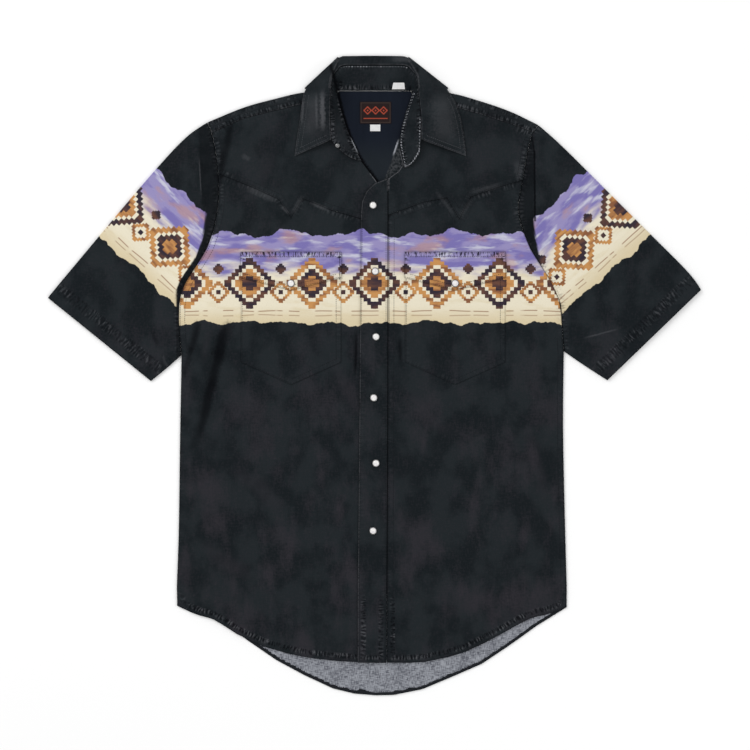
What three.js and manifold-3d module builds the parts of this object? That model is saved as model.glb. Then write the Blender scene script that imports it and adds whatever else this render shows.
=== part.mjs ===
// A western snap shirt with short sleeves, laid flat on its back panel.
// Millimetres, +Z up, the collar towards +Y. The origin is the middle of the
// underside. "Right" and "left" are the wearer's: the right side has -X.
import * as THREE from 'three';
import { mergeVertices } from 'three/addons/utils/BufferGeometryUtils.js';
import Module from 'manifold-3d';

const wasm = await Module();
wasm.setup();

// Driving dimensions
const CLOTH = 1.2;            // one layer of twill
const BAND_CLOTH = 2.0;       // the folded front band
const COLLAR_CLOTH = 1.6;     // two layers and their interlining
const LINING_CLOTH = 1.0;
const TRIM_CLOTH = 1.0;       // pockets and flaps
const LABEL_CLOTH = 0.6;
const GAP = 0.3;              // between pieces that touch
const SEAM_GAP = 0.5;         // between pieces sewn edge to edge
const SIDE_LIFT = 1.5;        // front above the floor at the side seams
const HEM_LIFT = 1.7;         // front above the floor along the hem
const CHEST_LIFT = 3.1;       // front above the floor over the lining
const BAND_STEP = CLOTH + GAP;
const SHOULDER_RADIUS = CHEST_LIFT / 2;
const SLEEVE_RADIUS = 1.3;
const BACK_YOKE_SEAM = 7;     // armhole station of the seam across the back
const FRONT_YOKE_SEAM = 4;    // armhole station of the front yoke seam
const FORWARD_SEAM = 1;       // armhole station of the seam in front of the shoulder
const ARMPIT = 18;            // last armhole station
const STRIP_COLUMNS = 12;     // cells along a shoulder strip
const BACK_NECK_Y = 392.5;
const LINING_INSET = 9;
const LINING_BOTTOM = 234;
const SNAP_SIZE = 10.5;

// Places across a front, from the side to the centre, closer where it folds
const ACROSS = [0, 0.04, 0.08, 0.12, 0.16, 0.2, 0.25, 0.3, 0.4, 0.5, 0.6, 0.75, 0.85, 0.92, 0.96, 1];

// A table turns rows of values into objects with named columns.
function table(columns, ...rows) {
  return rows.map((row) => Object.fromEntries(columns.map((name, i) => [name, row[i]])));
}

// Armhole from the shoulder fold to the armpit, by station
const ARMHOLE = table(['at', 'rightX', 'rightY', 'leftX', 'leftY'],
  [0, -230, 350, 226, 346],
  [1, -224, 335, 218, 336],
  [2, -220, 317, 212, 317],
  [4, -215, 279, 204, 270],
  [7, -216, 228, 198, 226],
  [10, -230, 177, 215, 174],
  [12, -248.5, 147, 236, 142],
  [14, -266, 116, 254, 105],
  [16, -269.5, 77, 258, 71],
  [18, -266, 29, 261, 34]);

// Side seam from the armpit to the hem
const SIDE_SEAM = table(['at', 'rightX', 'rightY', 'leftX', 'leftY'],
  [0, -266, 29, 261, 34],
  [0.3, -268, -80, 260, -70],
  [0.7, -270, -220, 263, -215],
  [0.95, -273, -306, 265.5, -308],
  [1, -272, -317, 265, -319]);

// Pointed seam between a front and its yoke, from the armhole to the centre
const YOKE_SEAM = table(['at', 'rightX', 'rightY', 'leftX', 'leftY'],
  [0, -215, 279, 204, 270],
  [0.2, -172, 262, 169, 260],
  [0.4, -132, 244, 132, 247],
  [0.5, -115, 219, 117, 217],
  [0.6, -99, 245, 100, 246],
  [0.75, -60, 229, 68, 240],
  [1, 16, 207, 19.2, 222]);

// Seam in front of the shoulder, and the shoulder fold behind it
const FORWARD_LINE = table(['at', 'rightX', 'rightY', 'leftX', 'leftY'],
  [0, -224, 335, 218, 336],
  [0.25, -180, 355, 186, 348],
  [0.5, -136, 366, 145, 361],
  [0.75, -95, 376, 98, 374],
  [1, -51, 384, 51, 384]);
const SHOULDER_FOLD = table(['at', 'rightX', 'rightY', 'leftX', 'leftY'],
  [0, -230, 350, 226, 346],
  [0.25, -180, 370.5, 188, 364.5],
  [0.5, -136, 382.5, 146, 379],
  [0.75, -96, 391.5, 101, 391],
  [1, -51, 392, 51, 392]);

// Front hems, from the side to the centre
const FRONT_HEM = table(['at', 'rightX', 'rightY', 'leftX', 'leftY'],
  [0, -272, -317, 265, -319],
  [0.1, -245, -329, 240, -328],
  [0.2, -221, -336, 213, -335],
  [0.35, -173, -365, 165, -361],
  [0.5, -118, -383, 126, -380],
  [0.75, -50, -393, 70, -394],
  [1, 16, -395, 17.2, -395]);

// Free edges of the fronts in the neck, from the yoke seam up to the shoulder
const NECK_EDGE = table(['at', 'rightX', 'rightY', 'leftX', 'leftY'],
  [0, 16, 207, 19.2, 222],
  [0.25, 13, 243, 19.2, 272],
  [0.375, 2, 269, 33, 282],
  [0.5, -18, 295, 39, 291],
  [0.625, -29, 318, 33, 316],
  [0.75, -38, 340, 36, 336],
  [0.875, -46, 364, 44, 362],
  [1, -51, 384, 51, 384]);

// Tail of the back, from the right side to the left
const BACK_HEM = table(['x', 'y'],
  [-272, -317], [-245, -329], [-221, -336], [-197, -349], [-173, -366], [-135, -392],
  [-96, -413], [-57, -431], [-28, -438], [1, -440.4], [26, -440], [66, -432], [109, -414],
  [148, -397], [175, -379], [194, -366], [223, -345], [252, -327], [265, -319]);

// Front band: its free edge rolls back above the top snap
const BAND = table(['freeX', 'freeY', 'seamX', 'seamY'],
  [-23, -395, 16.8, -395],
  [-23, -309, 17.2, -309],
  [-20.5, -33, 18.6, -33],
  [-19, 160, 18.8, 160],
  [-18.5, 222, 18.8, 222],
  [-17, 240, 18.8, 236],
  [-11, 254, 18.8, 252],
  [0, 265, 18.8, 272]);

// Sleeves: the outer fold, the underarm and the hem between them
const SLEEVE_FOLD = table(['at', 'rightX', 'rightY', 'leftX', 'leftY'],
  [0, -230, 350, 226, 346],
  [0.1, -249, 338, 247, 328],
  [0.2, -268, 322, 269, 307],
  [0.4, -314, 271, 314, 262],
  [0.7, -384, 188, 384, 192],
  [0.95, -445, 115, 442, 134],
  [1, -450.3, 108, 450.3, 119]);
const UNDERARM = table(['at', 'rightX', 'rightY', 'leftX', 'leftY'],
  [0, -266, 29, 261, 34],
  [0.5, -286, 11, 290, 14],
  [1, -308, -7, 321, -6]);
const SLEEVE_RINGS = [0, 0.05, 0.1, 0.16, 0.24, 0.36, 0.5, 0.66, 0.82, 0.94, 1];

// Soft ridges (+) and troughs (-): a row for each fold, with its two ends
const BODY_FOLDS = table(['x1', 'y1', 'x2', 'y2', 'width', 'height'],
  [-244, 75, -262, -20, 7, -1.2],
  [-230, 78, -247, -60, 8, 2.6],
  [-206, 70, -230, -50, 7, -1.2],
  [-216, -60, -224, -170, 12, 1.4],
  [240, 120, 252, 62, 6, 2.4],
  [222, 30, 180, -40, 12, 1.2],
  [-90, -200, -150, -330, 16, 1.2],
  [150, -250, 200, -150, 16, 1.2],
  [66, -120, 80, -260, 12, 1.0]);
const SLEEVE_FOLDS = table(['x1', 'y1', 'x2', 'y2', 'width', 'height'],
  [-246, 262, -236, 222, 7, 4.5],
  [-236, 222, -240, 178, 7, 5.0],
  [-240, 178, -272, 122, 7, 3.6],
  [-300, 60, -318, 20, 9, 1.6],
  [226, 318, 221, 222, 6, 4.2],
  [221, 222, 228, 172, 6, 5.0],
  [228, 172, 252, 118, 6, 3.0],
  [300, 110, 330, 60, 10, 1.6]);

// Collar: a row for each section across it, from the front edge to the middle
// of the back. The neck is sewn to the body, the seam joins stand and leaf.
const COLLAR = table(
  ['rightNeck', 'leftNeck', 'neckY', 'neckZ', 'rightSeam', 'leftSeam', 'seamY', 'seamZ',
    'rightEdge', 'leftEdge', 'edgeY', 'edgeZ'],
  [18, 41, 296, 5.5, 59, 64, 323, 13, 110, 126, 303, 5.6],
  [29, 35, 316, 5.5, 60, 64, 337, 20, 107, 124, 323, 5.6],
  [38, 37, 339, 5.5, 61, 64, 355, 25, 104, 121, 343, 5.6],
  [46, 44, 364, 5.5, 61, 62, 376, 27, 101, 116, 364, 5.6],
  [51, 50, 382, 5.5, 60, 60, 395, 25, 99, 110, 379, 5.6],
  [52, 53, 390, 5.5, 58, 59, 410, 18, 97.5, 104, 388, 5.6]);
// Where the collar turns from the back to the side
const CORNER = table(['neck', 'seam', 'rollX', 'edgeX'],
  [51, 46, 50, 94.5],
  [51, 45, 47, 100]);

const POCKET = { width: 138, side: 147, point: 178, top: 166 };
const FLAP = { width: 139, side: 36, point: 53.5, top: 171 };
const POCKET_CENTRE = { right: -115, left: 111 };

const SNAPS = table(['x', 'y'],
  [-2, 235], [1, 144], [2, 54], [-1, -30], [2, -120], [-2, -213]);
const SNAP_PROFILE = table(['radius', 'height'],
  [0, 0], [0.9, 0], [1, 0.35], [0.86, 0.72], [0.78, 0.62], [0.55, 0.92], [0, 1]);
const SNAP_HEIGHT = 2.6;
const STUD = { size: 6, height: 1.6 };

const LABELS = {
  neck: { x: [-20, 23], y: [348, 378] },
  size: { x: [-6, 8], y: [337.5, 346.5] },
};

const COLOURS = {
  cloth: 0x222528, lining: 0x191c28, pearl: 0xe9e6df,
  metal: 0x8f8f8f, label: 0x2a1a15, tab: 0xe8e6e2,
};

// Smooth value of one column of a table at a place along it
function along(rows, column, at) {
  const last = rows.length - 1;
  let i = 0;
  while (i < last - 1 && at > rows[i + 1].at) i += 1;
  const span = rows[i + 1].at - rows[i].at;
  const t = (at - rows[i].at) / span;
  const slope = (k) => {
    const a = rows[Math.max(k - 1, 0)];
    const b = rows[Math.min(k + 1, last)];
    return (b[column] - a[column]) / (b.at - a.at);
  };
  const [p0, p1] = [rows[i][column], rows[i + 1][column]];
  const [m0, m1] = [slope(i) * span, slope(i + 1) * span];
  const [t2, t3] = [t * t, t * t * t];
  return (2 * t3 - 3 * t2 + 1) * p0 + (t3 - 2 * t2 + t) * m0 + (3 * t2 - 2 * t3) * p1 + (t3 - t2) * m1;
}

// Straight value between the rows, for lines with corners
function cornered(rows, column, at) {
  const last = rows.length - 1;
  let i = 0;
  while (i < last - 1 && at > rows[i + 1].at) i += 1;
  const t = (at - rows[i].at) / (rows[i + 1].at - rows[i].at);
  return rows[i][column] * (1 - t) + rows[i + 1][column] * t;
}

const point = (x, y, z = 0) => new THREE.Vector3(x, y, z);
const line = (rows, side, value = along) => (t) => point(
  value(rows, `${side}X`, t), value(rows, `${side}Y`, t));
const steps = (count) => Array.from({ length: count + 1 }, (_, i) => i / count);
const mix = (a, b, t) => a + (b - a) * t;
function smoothstep(from, to, value) {
  const t = Math.min(Math.max((value - from) / (to - from), 0), 1);
  return t * t * (3 - 2 * t);
}

// The armhole runs straight between its stations, so that every piece that
// meets it shares the same corners.
function armhole(side) {
  const smooth = line(ARMHOLE, side);
  return (station) => {
    const low = Math.min(Math.floor(station), ARMPIT - 1);
    return smooth(low).lerp(smooth(low + 1), station - low);
  };
}

// Height that soft folds add at a place: the highest ridge and the deepest trough
function foldHeight(folds, x, y) {
  let [ridge, trough] = [0, 0];
  for (const fold of folds) {
    const [dx, dy] = [fold.x2 - fold.x1, fold.y2 - fold.y1];
    const length = Math.hypot(dx, dy);
    const t = ((x - fold.x1) * dx + (y - fold.y1) * dy) / length ** 2;
    const off = ((x - fold.x1) * dy - (y - fold.y1) * dx) / length;
    const past = Math.max(-t, t - 1, 0) * length;
    const height = fold.height * Math.exp(-((off / fold.width) ** 2) - (past / (2 * fold.width)) ** 2);
    ridge = Math.max(ridge, height);
    trough = Math.min(trough, height);
  }
  return ridge + trough;
}

// Underside of the fronts and their yokes above the floor
function frontLift(x, y) {
  const side = x < 0 ? 'right' : 'left';
  const hem = smoothstep(-395, 150, y);
  const flat = mix(HEM_LIFT, CHEST_LIFT, hem);
  const edge = mix(SIDE_LIFT, CHEST_LIFT, smoothstep(40, 200, y));
  const seamX = y < 30
    ? Math.abs(along(SIDE_SEAM, `${side}X`, Math.min(Math.max((30 - y) / 348, 0), 1)))
    : Math.abs(along(ARMHOLE, `${side}X`, Math.min((350 - y) / 17.8, ARMPIT)));
  const inward = smoothstep(0, 45, seamX - Math.abs(x));
  const folds = foldHeight(BODY_FOLDS, x, y) * smoothstep(-2, 14, seamX - Math.abs(x));
  return Math.max(mix(edge, flat, inward) + folds, SIDE_LIFT);
}

// The left front climbs onto the underlap beside the band
function leftLift(x, y) {
  return frontLift(x, y) + BAND_STEP * (1 - smoothstep(21, 40, x)) * (1 - smoothstep(265, 300, y));
}

// Points of a patch between four edges that meet at its corners
function patch(bottom, top, start, end, us, vs) {
  const c = [bottom(0), bottom(1), top(0), top(1)];
  return vs.map((v) => us.map((u) => {
    const ruled = bottom(u).multiplyScalar(1 - v).addScaledVector(top(u), v);
    ruled.addScaledVector(start(v), 1 - u).addScaledVector(end(v), u);
    ruled.addScaledVector(c[0], -(1 - u) * (1 - v)).addScaledVector(c[1], -u * (1 - v));
    return ruled.addScaledVector(c[2], -(1 - u) * v).addScaledVector(c[3], -u * v);
  }));
}

// Closed geometry from two grids of points, the upper and the lower face of a
// wall. A grid that is a ring has no rim along its rows.
function closedWall(upper, lower, ring = false) {
  const rows = upper.length;
  const columns = upper[0].length;
  const count = rows * columns;
  const positions = [upper, lower].flat(2).flatMap((p) => [p.x, p.y, p.z]);
  const at = (face, i, j) => face * count + i * columns + (j % columns);
  const index = [];
  const quad = (a, b, c, d) => index.push(a, b, c, a, c, d);
  const spanJ = ring ? columns : columns - 1;
  for (let i = 0; i < rows - 1; i += 1) {
    for (let j = 0; j < spanJ; j += 1) {
      quad(at(0, i, j), at(0, i, j + 1), at(0, i + 1, j + 1), at(0, i + 1, j));
      quad(at(1, i, j), at(1, i + 1, j), at(1, i + 1, j + 1), at(1, i, j + 1));
    }
  }
  for (let j = 0; j < spanJ; j += 1) {
    quad(at(0, 0, j), at(1, 0, j), at(1, 0, j + 1), at(0, 0, j + 1));
    quad(at(0, rows - 1, j), at(0, rows - 1, j + 1), at(1, rows - 1, j + 1), at(1, rows - 1, j));
  }
  if (!ring) {
    const end = columns - 1;
    for (let i = 0; i < rows - 1; i += 1) {
      quad(at(0, i, 0), at(0, i + 1, 0), at(1, i + 1, 0), at(1, i, 0));
      quad(at(0, i, end), at(1, i, end), at(1, i + 1, end), at(0, i + 1, end));
    }
  }
  const geometry = new THREE.BufferGeometry();
  geometry.setAttribute('position', new THREE.Float32BufferAttribute(positions, 3));
  geometry.setIndex(index);
  return volume(geometry) < 0 ? flipped(geometry) : geometry;
}

function volume(geometry) {
  const p = geometry.attributes.position;
  const index = geometry.index.array;
  const [a, b, c] = [point(0, 0), point(0, 0), point(0, 0)];
  let sum = 0;
  for (let i = 0; i < index.length; i += 3) {
    a.fromBufferAttribute(p, index[i]);
    b.fromBufferAttribute(p, index[i + 1]);
    c.fromBufferAttribute(p, index[i + 2]);
    sum += a.dot(b.cross(c)) / 6;
  }
  return sum;
}

function flipped(geometry) {
  const index = Array.from(geometry.index.array);
  for (let i = 0; i < index.length; i += 3) [index[i], index[i + 1]] = [index[i + 1], index[i]];
  geometry.setIndex(index);
  return geometry;
}

// A layer that lies on the floor side of a height: plan points, lifted
function layer(grid, lift, thickness) {
  const lower = grid.map((row) => row.map((p) => point(p.x, p.y, lift(p.x, p.y))));
  const upper = lower.map((row) => row.map((p) => point(p.x, p.y, p.z + thickness)));
  return closedWall(upper, lower);
}

// Normals of a grid of points in space
function normals(grid, ring = false) {
  const columns = grid[0].length;
  return grid.map((row, i) => row.map((_, j) => {
    const before = ring ? (j + columns - 1) % columns : Math.max(j - 1, 0);
    const after = ring ? (j + 1) % columns : Math.min(j + 1, columns - 1);
    const across = grid[i][after].clone().sub(grid[i][before]);
    const down = grid[Math.min(i + 1, grid.length - 1)][j].clone().sub(grid[Math.max(i - 1, 0)][j]);
    return across.cross(down).normalize();
  }));
}

function bentWall(grid, thickness, ring = false) {
  const n = normals(grid, ring);
  const moved = (by) => grid.map((row, i) => row.map((p, j) => p.clone().addScaledVector(n[i][j], by)));
  return closedWall(moved(thickness / 2), moved(-thickness / 2), ring);
}

// Flat plate on the floor with a plan outline
function plate(outline, bottom, thickness) {
  const shape = new THREE.Shape(outline.map((p) => new THREE.Vector2(p.x, p.y)));
  const geometry = new THREE.ExtrudeGeometry(shape, { depth: thickness, bevelEnabled: false });
  return geometry.translate(0, 0, bottom);
}

function solid(geometry) {
  const bare = geometry.clone();
  bare.deleteAttribute('normal');
  bare.deleteAttribute('uv');
  const merged = mergeVertices(bare, 1e-4);
  return new wasm.Manifold(new wasm.Mesh({
    numProp: 3,
    vertProperties: new Float32Array(merged.attributes.position.array),
    triVerts: new Uint32Array(merged.index.array),
  }));
}

function joined(...geometries) {
  const whole = geometries.map(solid).reduce((a, b) => a.add(b));
  const mesh = whole.getMesh();
  const geometry = new THREE.BufferGeometry();
  geometry.setAttribute('position', new THREE.BufferAttribute(mesh.vertProperties, 3));
  geometry.setIndex(new THREE.BufferAttribute(mesh.triVerts, 1));
  return geometry;
}

const shirt = new THREE.Group();
function add(name, geometry, colour, roughness = 0.9, metalness = 0) {
  const material = new THREE.MeshStandardMaterial({ color: colour, roughness, metalness });
  const mesh = new THREE.Mesh(geometry, material);
  mesh.name = name;
  shirt.add(mesh);
  return mesh;
}

// Plan points from the armpit down the side seam
const sideSeam = (side) => line(SIDE_SEAM, side);

function backPlates() {
  const right = armhole('right');
  const left = armhole('left');
  const stations = (arm, from, to) => Array.from(
    { length: Math.abs(to - from) + 1 }, (_, i) => arm(from + i * Math.sign(to - from)));
  const sides = steps(10).slice(1, -1);
  const seamY = (right(BACK_YOKE_SEAM).y + left(BACK_YOKE_SEAM).y) / 2;
  const lower = [
    point(right(BACK_YOKE_SEAM).x, seamY - SEAM_GAP),
    ...stations(right, BACK_YOKE_SEAM + 1, ARMPIT),
    ...sides.map(sideSeam('right')),
    ...BACK_HEM.map((row) => point(row.x, row.y)),
    ...sides.map(sideSeam('left')).reverse(),
    ...stations(left, ARMPIT, BACK_YOKE_SEAM + 1),
    point(left(BACK_YOKE_SEAM).x, seamY - SEAM_GAP),
  ];
  const fold = (side) => steps(STRIP_COLUMNS).map(foldCentre(side));
  const [foldRight, foldLeft] = [fold('right'), fold('left')];
  const upper = [
    point(right(BACK_YOKE_SEAM).x, seamY),
    point(left(BACK_YOKE_SEAM).x, seamY),
    ...stations(left, BACK_YOKE_SEAM - 1, 1),
    ...foldLeft,
    point(foldLeft.at(-1).x - 1, BACK_NECK_Y),
    point(foldRight.at(-1).x + 1, BACK_NECK_Y),
    ...foldRight.reverse(),
    ...stations(right, 1, BACK_YOKE_SEAM - 1),
  ];
  return { lower, upper };
}

// Middle of the half-turn of the cloth along the shoulder
function foldCentre(side) {
  const fold = line(SHOULDER_FOLD, side);
  const seam = line(FORWARD_LINE, side, cornered);
  return (t) => {
    const inward = seam(t).sub(fold(t)).normalize();
    return fold(t).addScaledVector(inward, SHOULDER_RADIUS + CLOTH / 2);
  };
}

// The back yoke turns over the shoulder and ends at the forward seam.
function shoulderStrip(side) {
  const centre = foldCentre(side);
  const fold = line(SHOULDER_FOLD, side);
  const seam = line(FORWARD_LINE, side, cornered);
  const rows = steps(STRIP_COLUMNS).map((t) => {
    const c = centre(t);
    const out = fold(t).sub(c).normalize();
    const under = point(c.x, c.y, CLOTH / 2).addScaledVector(out, -2);
    const turn = steps(5).map((a) => point(c.x, c.y, CLOTH / 2 + SHOULDER_RADIUS)
      .addScaledVector(out, SHOULDER_RADIUS * Math.sin(a * Math.PI))
      .add(point(0, 0, -SHOULDER_RADIUS * Math.cos(a * Math.PI))));
    const s = seam(t).addScaledVector(out, SEAM_GAP / 2);
    return [under, ...turn, point(s.x, s.y, CHEST_LIFT + CLOTH / 2)];
  });
  return bentWall(rows, CLOTH);
}

const plates = backPlates();
add('back', plate(plates.lower, 0, CLOTH), COLOURS.cloth);
const strips = [shoulderStrip('right'), shoulderStrip('left')];
add('back_yoke', joined(plate(plates.upper, 0, CLOTH), ...strips), COLOURS.cloth);

// The inner yoke is seen in the neck
const LINING_SIDE_STATIONS = [5, 4, 3, 2, 1.4];
const LINING_TOP_STATIONS = [0.1, 0.25, 0.5, 0.75, 1];
function liningOutline() {
  const inset = (side, sign) => LINING_SIDE_STATIONS.map((station) => (
    armhole(side)(station).add(point(sign * LINING_INSET, 0))));
  const top = (side) => LINING_TOP_STATIONS.map((t) => foldCentre(side)(t).add(point(0, -CLOTH)));
  const [topRight, topLeft] = [top('right'), top('left')];
  return [
    point(armhole('right')(6).x + LINING_INSET, LINING_BOTTOM),
    point(armhole('left')(6).x - LINING_INSET, LINING_BOTTOM),
    ...inset('left', -1), ...topLeft, point(topLeft.at(-1).x - 2, BACK_NECK_Y),
    point(topRight.at(-1).x + 2, BACK_NECK_Y), ...topRight.reverse(), ...inset('right', 1).reverse(),
  ];
}
add('yoke_lining', plate(liningOutline(), CLOTH + GAP, LINING_CLOTH), COLOURS.lining);

// Fronts and front yokes
const BODY_ROWS = 24;
const SIDE_ROWS = 10;
function frontPanel(side, lift) {
  const arm = armhole(side);
  const below = sideSeam(side);
  const start = (v) => {
    const row = v * BODY_ROWS;
    if (row <= SIDE_ROWS) return below(1 - row / SIDE_ROWS);
    return arm(ARMPIT - (row - SIDE_ROWS) * (ARMPIT - FRONT_YOKE_SEAM) / (BODY_ROWS - SIDE_ROWS));
  };
  const top = line(YOKE_SEAM, side, cornered);
  const bottom = line(FRONT_HEM, side);
  const end = (v) => bottom(1).lerp(top(1), v);
  const grid = patch(bottom, top, start, end, ACROSS, steps(BODY_ROWS));
  for (const p of grid[BODY_ROWS]) p.y -= SEAM_GAP;
  return layer(grid, lift, CLOTH);
}

const YOKE_ROWS = 8;
function frontYoke(side, lift) {
  const arm = armhole(side);
  const bottom = line(YOKE_SEAM, side, cornered);
  const top = line(FORWARD_LINE, side, cornered);
  const start = (v) => arm(mix(FRONT_YOKE_SEAM, FORWARD_SEAM, v));
  const end = line(NECK_EDGE, side, cornered);
  const grid = patch(bottom, top, start, end, ACROSS, steps(YOKE_ROWS));
  for (const p of grid[YOKE_ROWS]) p.y -= SEAM_GAP / 2;
  return layer(grid, lift, CLOTH);
}

add('front_right', frontPanel('right', frontLift), COLOURS.cloth);
add('front_left', frontPanel('left', leftLift), COLOURS.cloth);
add('front_yoke_right', frontYoke('right', frontLift), COLOURS.cloth);
add('front_yoke_left', frontYoke('left', leftLift), COLOURS.cloth);

// Front band over the underlap
const bandLift = (x, y) => frontLift(Math.min(x, 0), y) + BAND_STEP;
function band() {
  const rows = [];
  for (let i = 0; i < BAND.length - 1; i += 1) {
    const [a, b] = [BAND[i], BAND[i + 1]];
    const cells = Math.max(Math.round((b.freeY - a.freeY) / 40), 1);
    for (let k = 0; k < cells; k += 1) rows.push([a, b, k / cells]);
  }
  rows.push([BAND.at(-2), BAND.at(-1), 1]);
  const grid = rows.map(([a, b, t]) => steps(4).map((u) => point(
    mix(mix(a.freeX, b.freeX, t), mix(a.seamX, b.seamX, t) - SEAM_GAP, u),
    mix(mix(a.freeY, b.freeY, t), mix(a.seamY, b.seamY, t), u))));
  return layer(grid, bandLift, BAND_CLOTH);
}
add('placket', band(), COLOURS.cloth);

// Sleeves, each one tube: the upper layer, the turn at the underarm, the lower
// layer and the turn along the outer fold
function sleeve(side) {
  const sign = side === 'right' ? -1 : 1;
  const arm = armhole(side);
  const fold = line(SLEEVE_FOLD, side);
  const under = line(UNDERARM, side);
  const hem = (t) => fold(1).lerp(under(1), t);
  const inset = SLEEVE_RADIUS + CLOTH / 2;
  const plan = patch(fold, under, (v) => arm(v * ARMPIT), hem, SLEEVE_RINGS, steps(ARMPIT));
  const rings = SLEEVE_RINGS.map((k, ring) => {
    const across = plan.map((row) => row[ring].clone());
    if (ring === 0) {
      across.forEach((p, i) => {
        const tangent = arm(Math.min(i + 1, ARMPIT)).sub(arm(Math.max(i - 1, 0))).normalize();
        const outward = point(sign * Math.abs(tangent.y), -sign * Math.sign(tangent.y) * tangent.x);
        p.addScaledVector(outward, SEAM_GAP);
      });
    }
    const first = across[0].clone();
    const last = across[ARMPIT].clone();
    const inStart = across[1].clone().sub(first).normalize();
    const inEnd = across[ARMPIT - 1].clone().sub(last).normalize();
    across[0].addScaledVector(inStart, inset);
    across[ARMPIT].addScaledVector(inEnd, inset);
    const low = CLOTH / 2;
    const centreZ = low + SLEEVE_RADIUS;
    const top = across.map((p, i) => {
      const edge = Math.min(i, ARMPIT - i) / 2;
      const joinBody = (frontLift(p.x, p.y) + CLOTH / 2) * (1 - smoothstep(0, 0.12, k));
      const free = (centreZ + SLEEVE_RADIUS + 0.3) * smoothstep(0, 0.12, k);
      const crown = joinBody + free + foldHeight(SLEEVE_FOLDS, p.x, p.y) * smoothstep(0, 0.06, k);
      return point(p.x, p.y, mix(centreZ + SLEEVE_RADIUS, crown, smoothstep(0, 1, edge)));
    });
    const turn = (centre, inward, flip) => [0.25, 0.5, 0.75].map((a) => {
      const angle = Math.PI * (flip ? 1 - a : a);
      return point(centre.x, centre.y, centreZ + SLEEVE_RADIUS * Math.cos(angle))
        .addScaledVector(inward, -SLEEVE_RADIUS * Math.sin(angle));
    });
    const bottom = across.map((p) => point(p.x, p.y, low)).reverse();
    return [...top, ...turn(across[ARMPIT], inEnd, false), ...bottom, ...turn(across[0], inStart, true)];
  });
  return bentWall(rings, CLOTH, true);
}
add('sleeve_right', sleeve('right'), COLOURS.cloth);
add('sleeve_left', sleeve('left'), COLOURS.cloth);

// Sections of the collar, from the right front edge round the back to the left
const BACK_NECK_SEAM_Y = 393.6;
const BACK_SEAM_Y = 428.5;
const TURN_SEAM_Y = 412;
const TURN_SEAM_Z = 16;
const BACK_ROLL_Y = 439.6;
const UNDER_Z = COLLAR_CLOTH / 2;
const STAND_Z = 3.5;
const ROLL_RADIUS = (STAND_Z - UNDER_Z) / 2;
const UNDER_EDGE_Y = 394.8;
const FOLD_ROLL_Y = 438;
const EDGE_RADIUS = (5.6 - UNDER_Z) / 2;

// One side of the collar, with x counted away from the middle
function halfCollar(side) {
  const over = COLLAR.map((row, i) => ({ ...row, at: i }));
  const corner = CORNER[side === 'right' ? 0 : 1];
  const last = COLLAR.length - 1;
  const half = steps(9).map((t) => {
    const value = (name) => along(over, name, t * last);
    const neck = point(value(`${side}Neck`), value('neckY'), value('neckZ'));
    const seam = point(value(`${side}Seam`), value('seamY'), value('seamZ'));
    const edge = point(value(`${side}Edge`), value('edgeY'), value('edgeZ'));
    const top = seam.clone().addScaledVector(seam.clone().sub(neck).normalize(), 2);
    const outward = point(edge.x - seam.x, edge.y - seam.y).normalize();
    const bend = top.clone().addScaledVector(outward, 4).add(point(0, 0, -1));
    return { neck, seam, top, bend, edge };
  });
  // the leaf turns under itself where the shoulder folds
  const out = point(FOLD_ROLL_Y - UNDER_EDGE_Y, corner.edgeX - corner.rollX).normalize();
  const lastNeck = half.at(-1).neck;
  const lastSeam = half.at(-1).seam;
  for (const [i, a] of steps(5).entries()) {
    const angle = a * Math.PI;
    const turn = (x, y, r) => point(x, y, UNDER_Z + r + r * Math.cos(angle))
      .addScaledVector(out, r * Math.sin(angle));
    const t = (i + 1) / 7;
    const neck = point(mix(lastNeck.x, corner.neck, t), mix(lastNeck.y, BACK_NECK_SEAM_Y, t));
    neck.z = mix(lastNeck.z, STAND_Z, t * t);
    const seam = point(mix(lastSeam.x, corner.seam, t), mix(TURN_SEAM_Y, BACK_SEAM_Y, t));
    seam.z = mix(TURN_SEAM_Z, STAND_Z, Math.sqrt(t));
    const bend = turn(corner.rollX, FOLD_ROLL_Y, ROLL_RADIUS);
    const top = seam.clone().lerp(bend, 0.8);
    top.z = mix(seam.z, STAND_Z, 0.8);
    half.push({ neck, seam, top, bend, edge: turn(corner.edgeX, UNDER_EDGE_Y, EDGE_RADIUS) });
  }
  for (const x of [0.88, 0.7, 0.4, 0]) {
    half.push({
      neck: point(corner.neck * x, BACK_NECK_SEAM_Y, STAND_Z),
      seam: point(corner.seam * x, BACK_SEAM_Y, STAND_Z),
      top: point(corner.rollX * x, BACK_ROLL_Y, STAND_Z),
      bend: point(corner.rollX * x, BACK_ROLL_Y, UNDER_Z),
      edge: point(corner.edgeX * x, UNDER_EDGE_Y, UNDER_Z),
    });
  }
  const sign = side === 'right' ? -1 : 1;
  for (const p of half.flatMap((row) => Object.values(row))) p.x *= sign;
  return half;
}
const collarSections = () => [...halfCollar('right'), ...halfCollar('left').slice(0, -1).reverse()];

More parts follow.
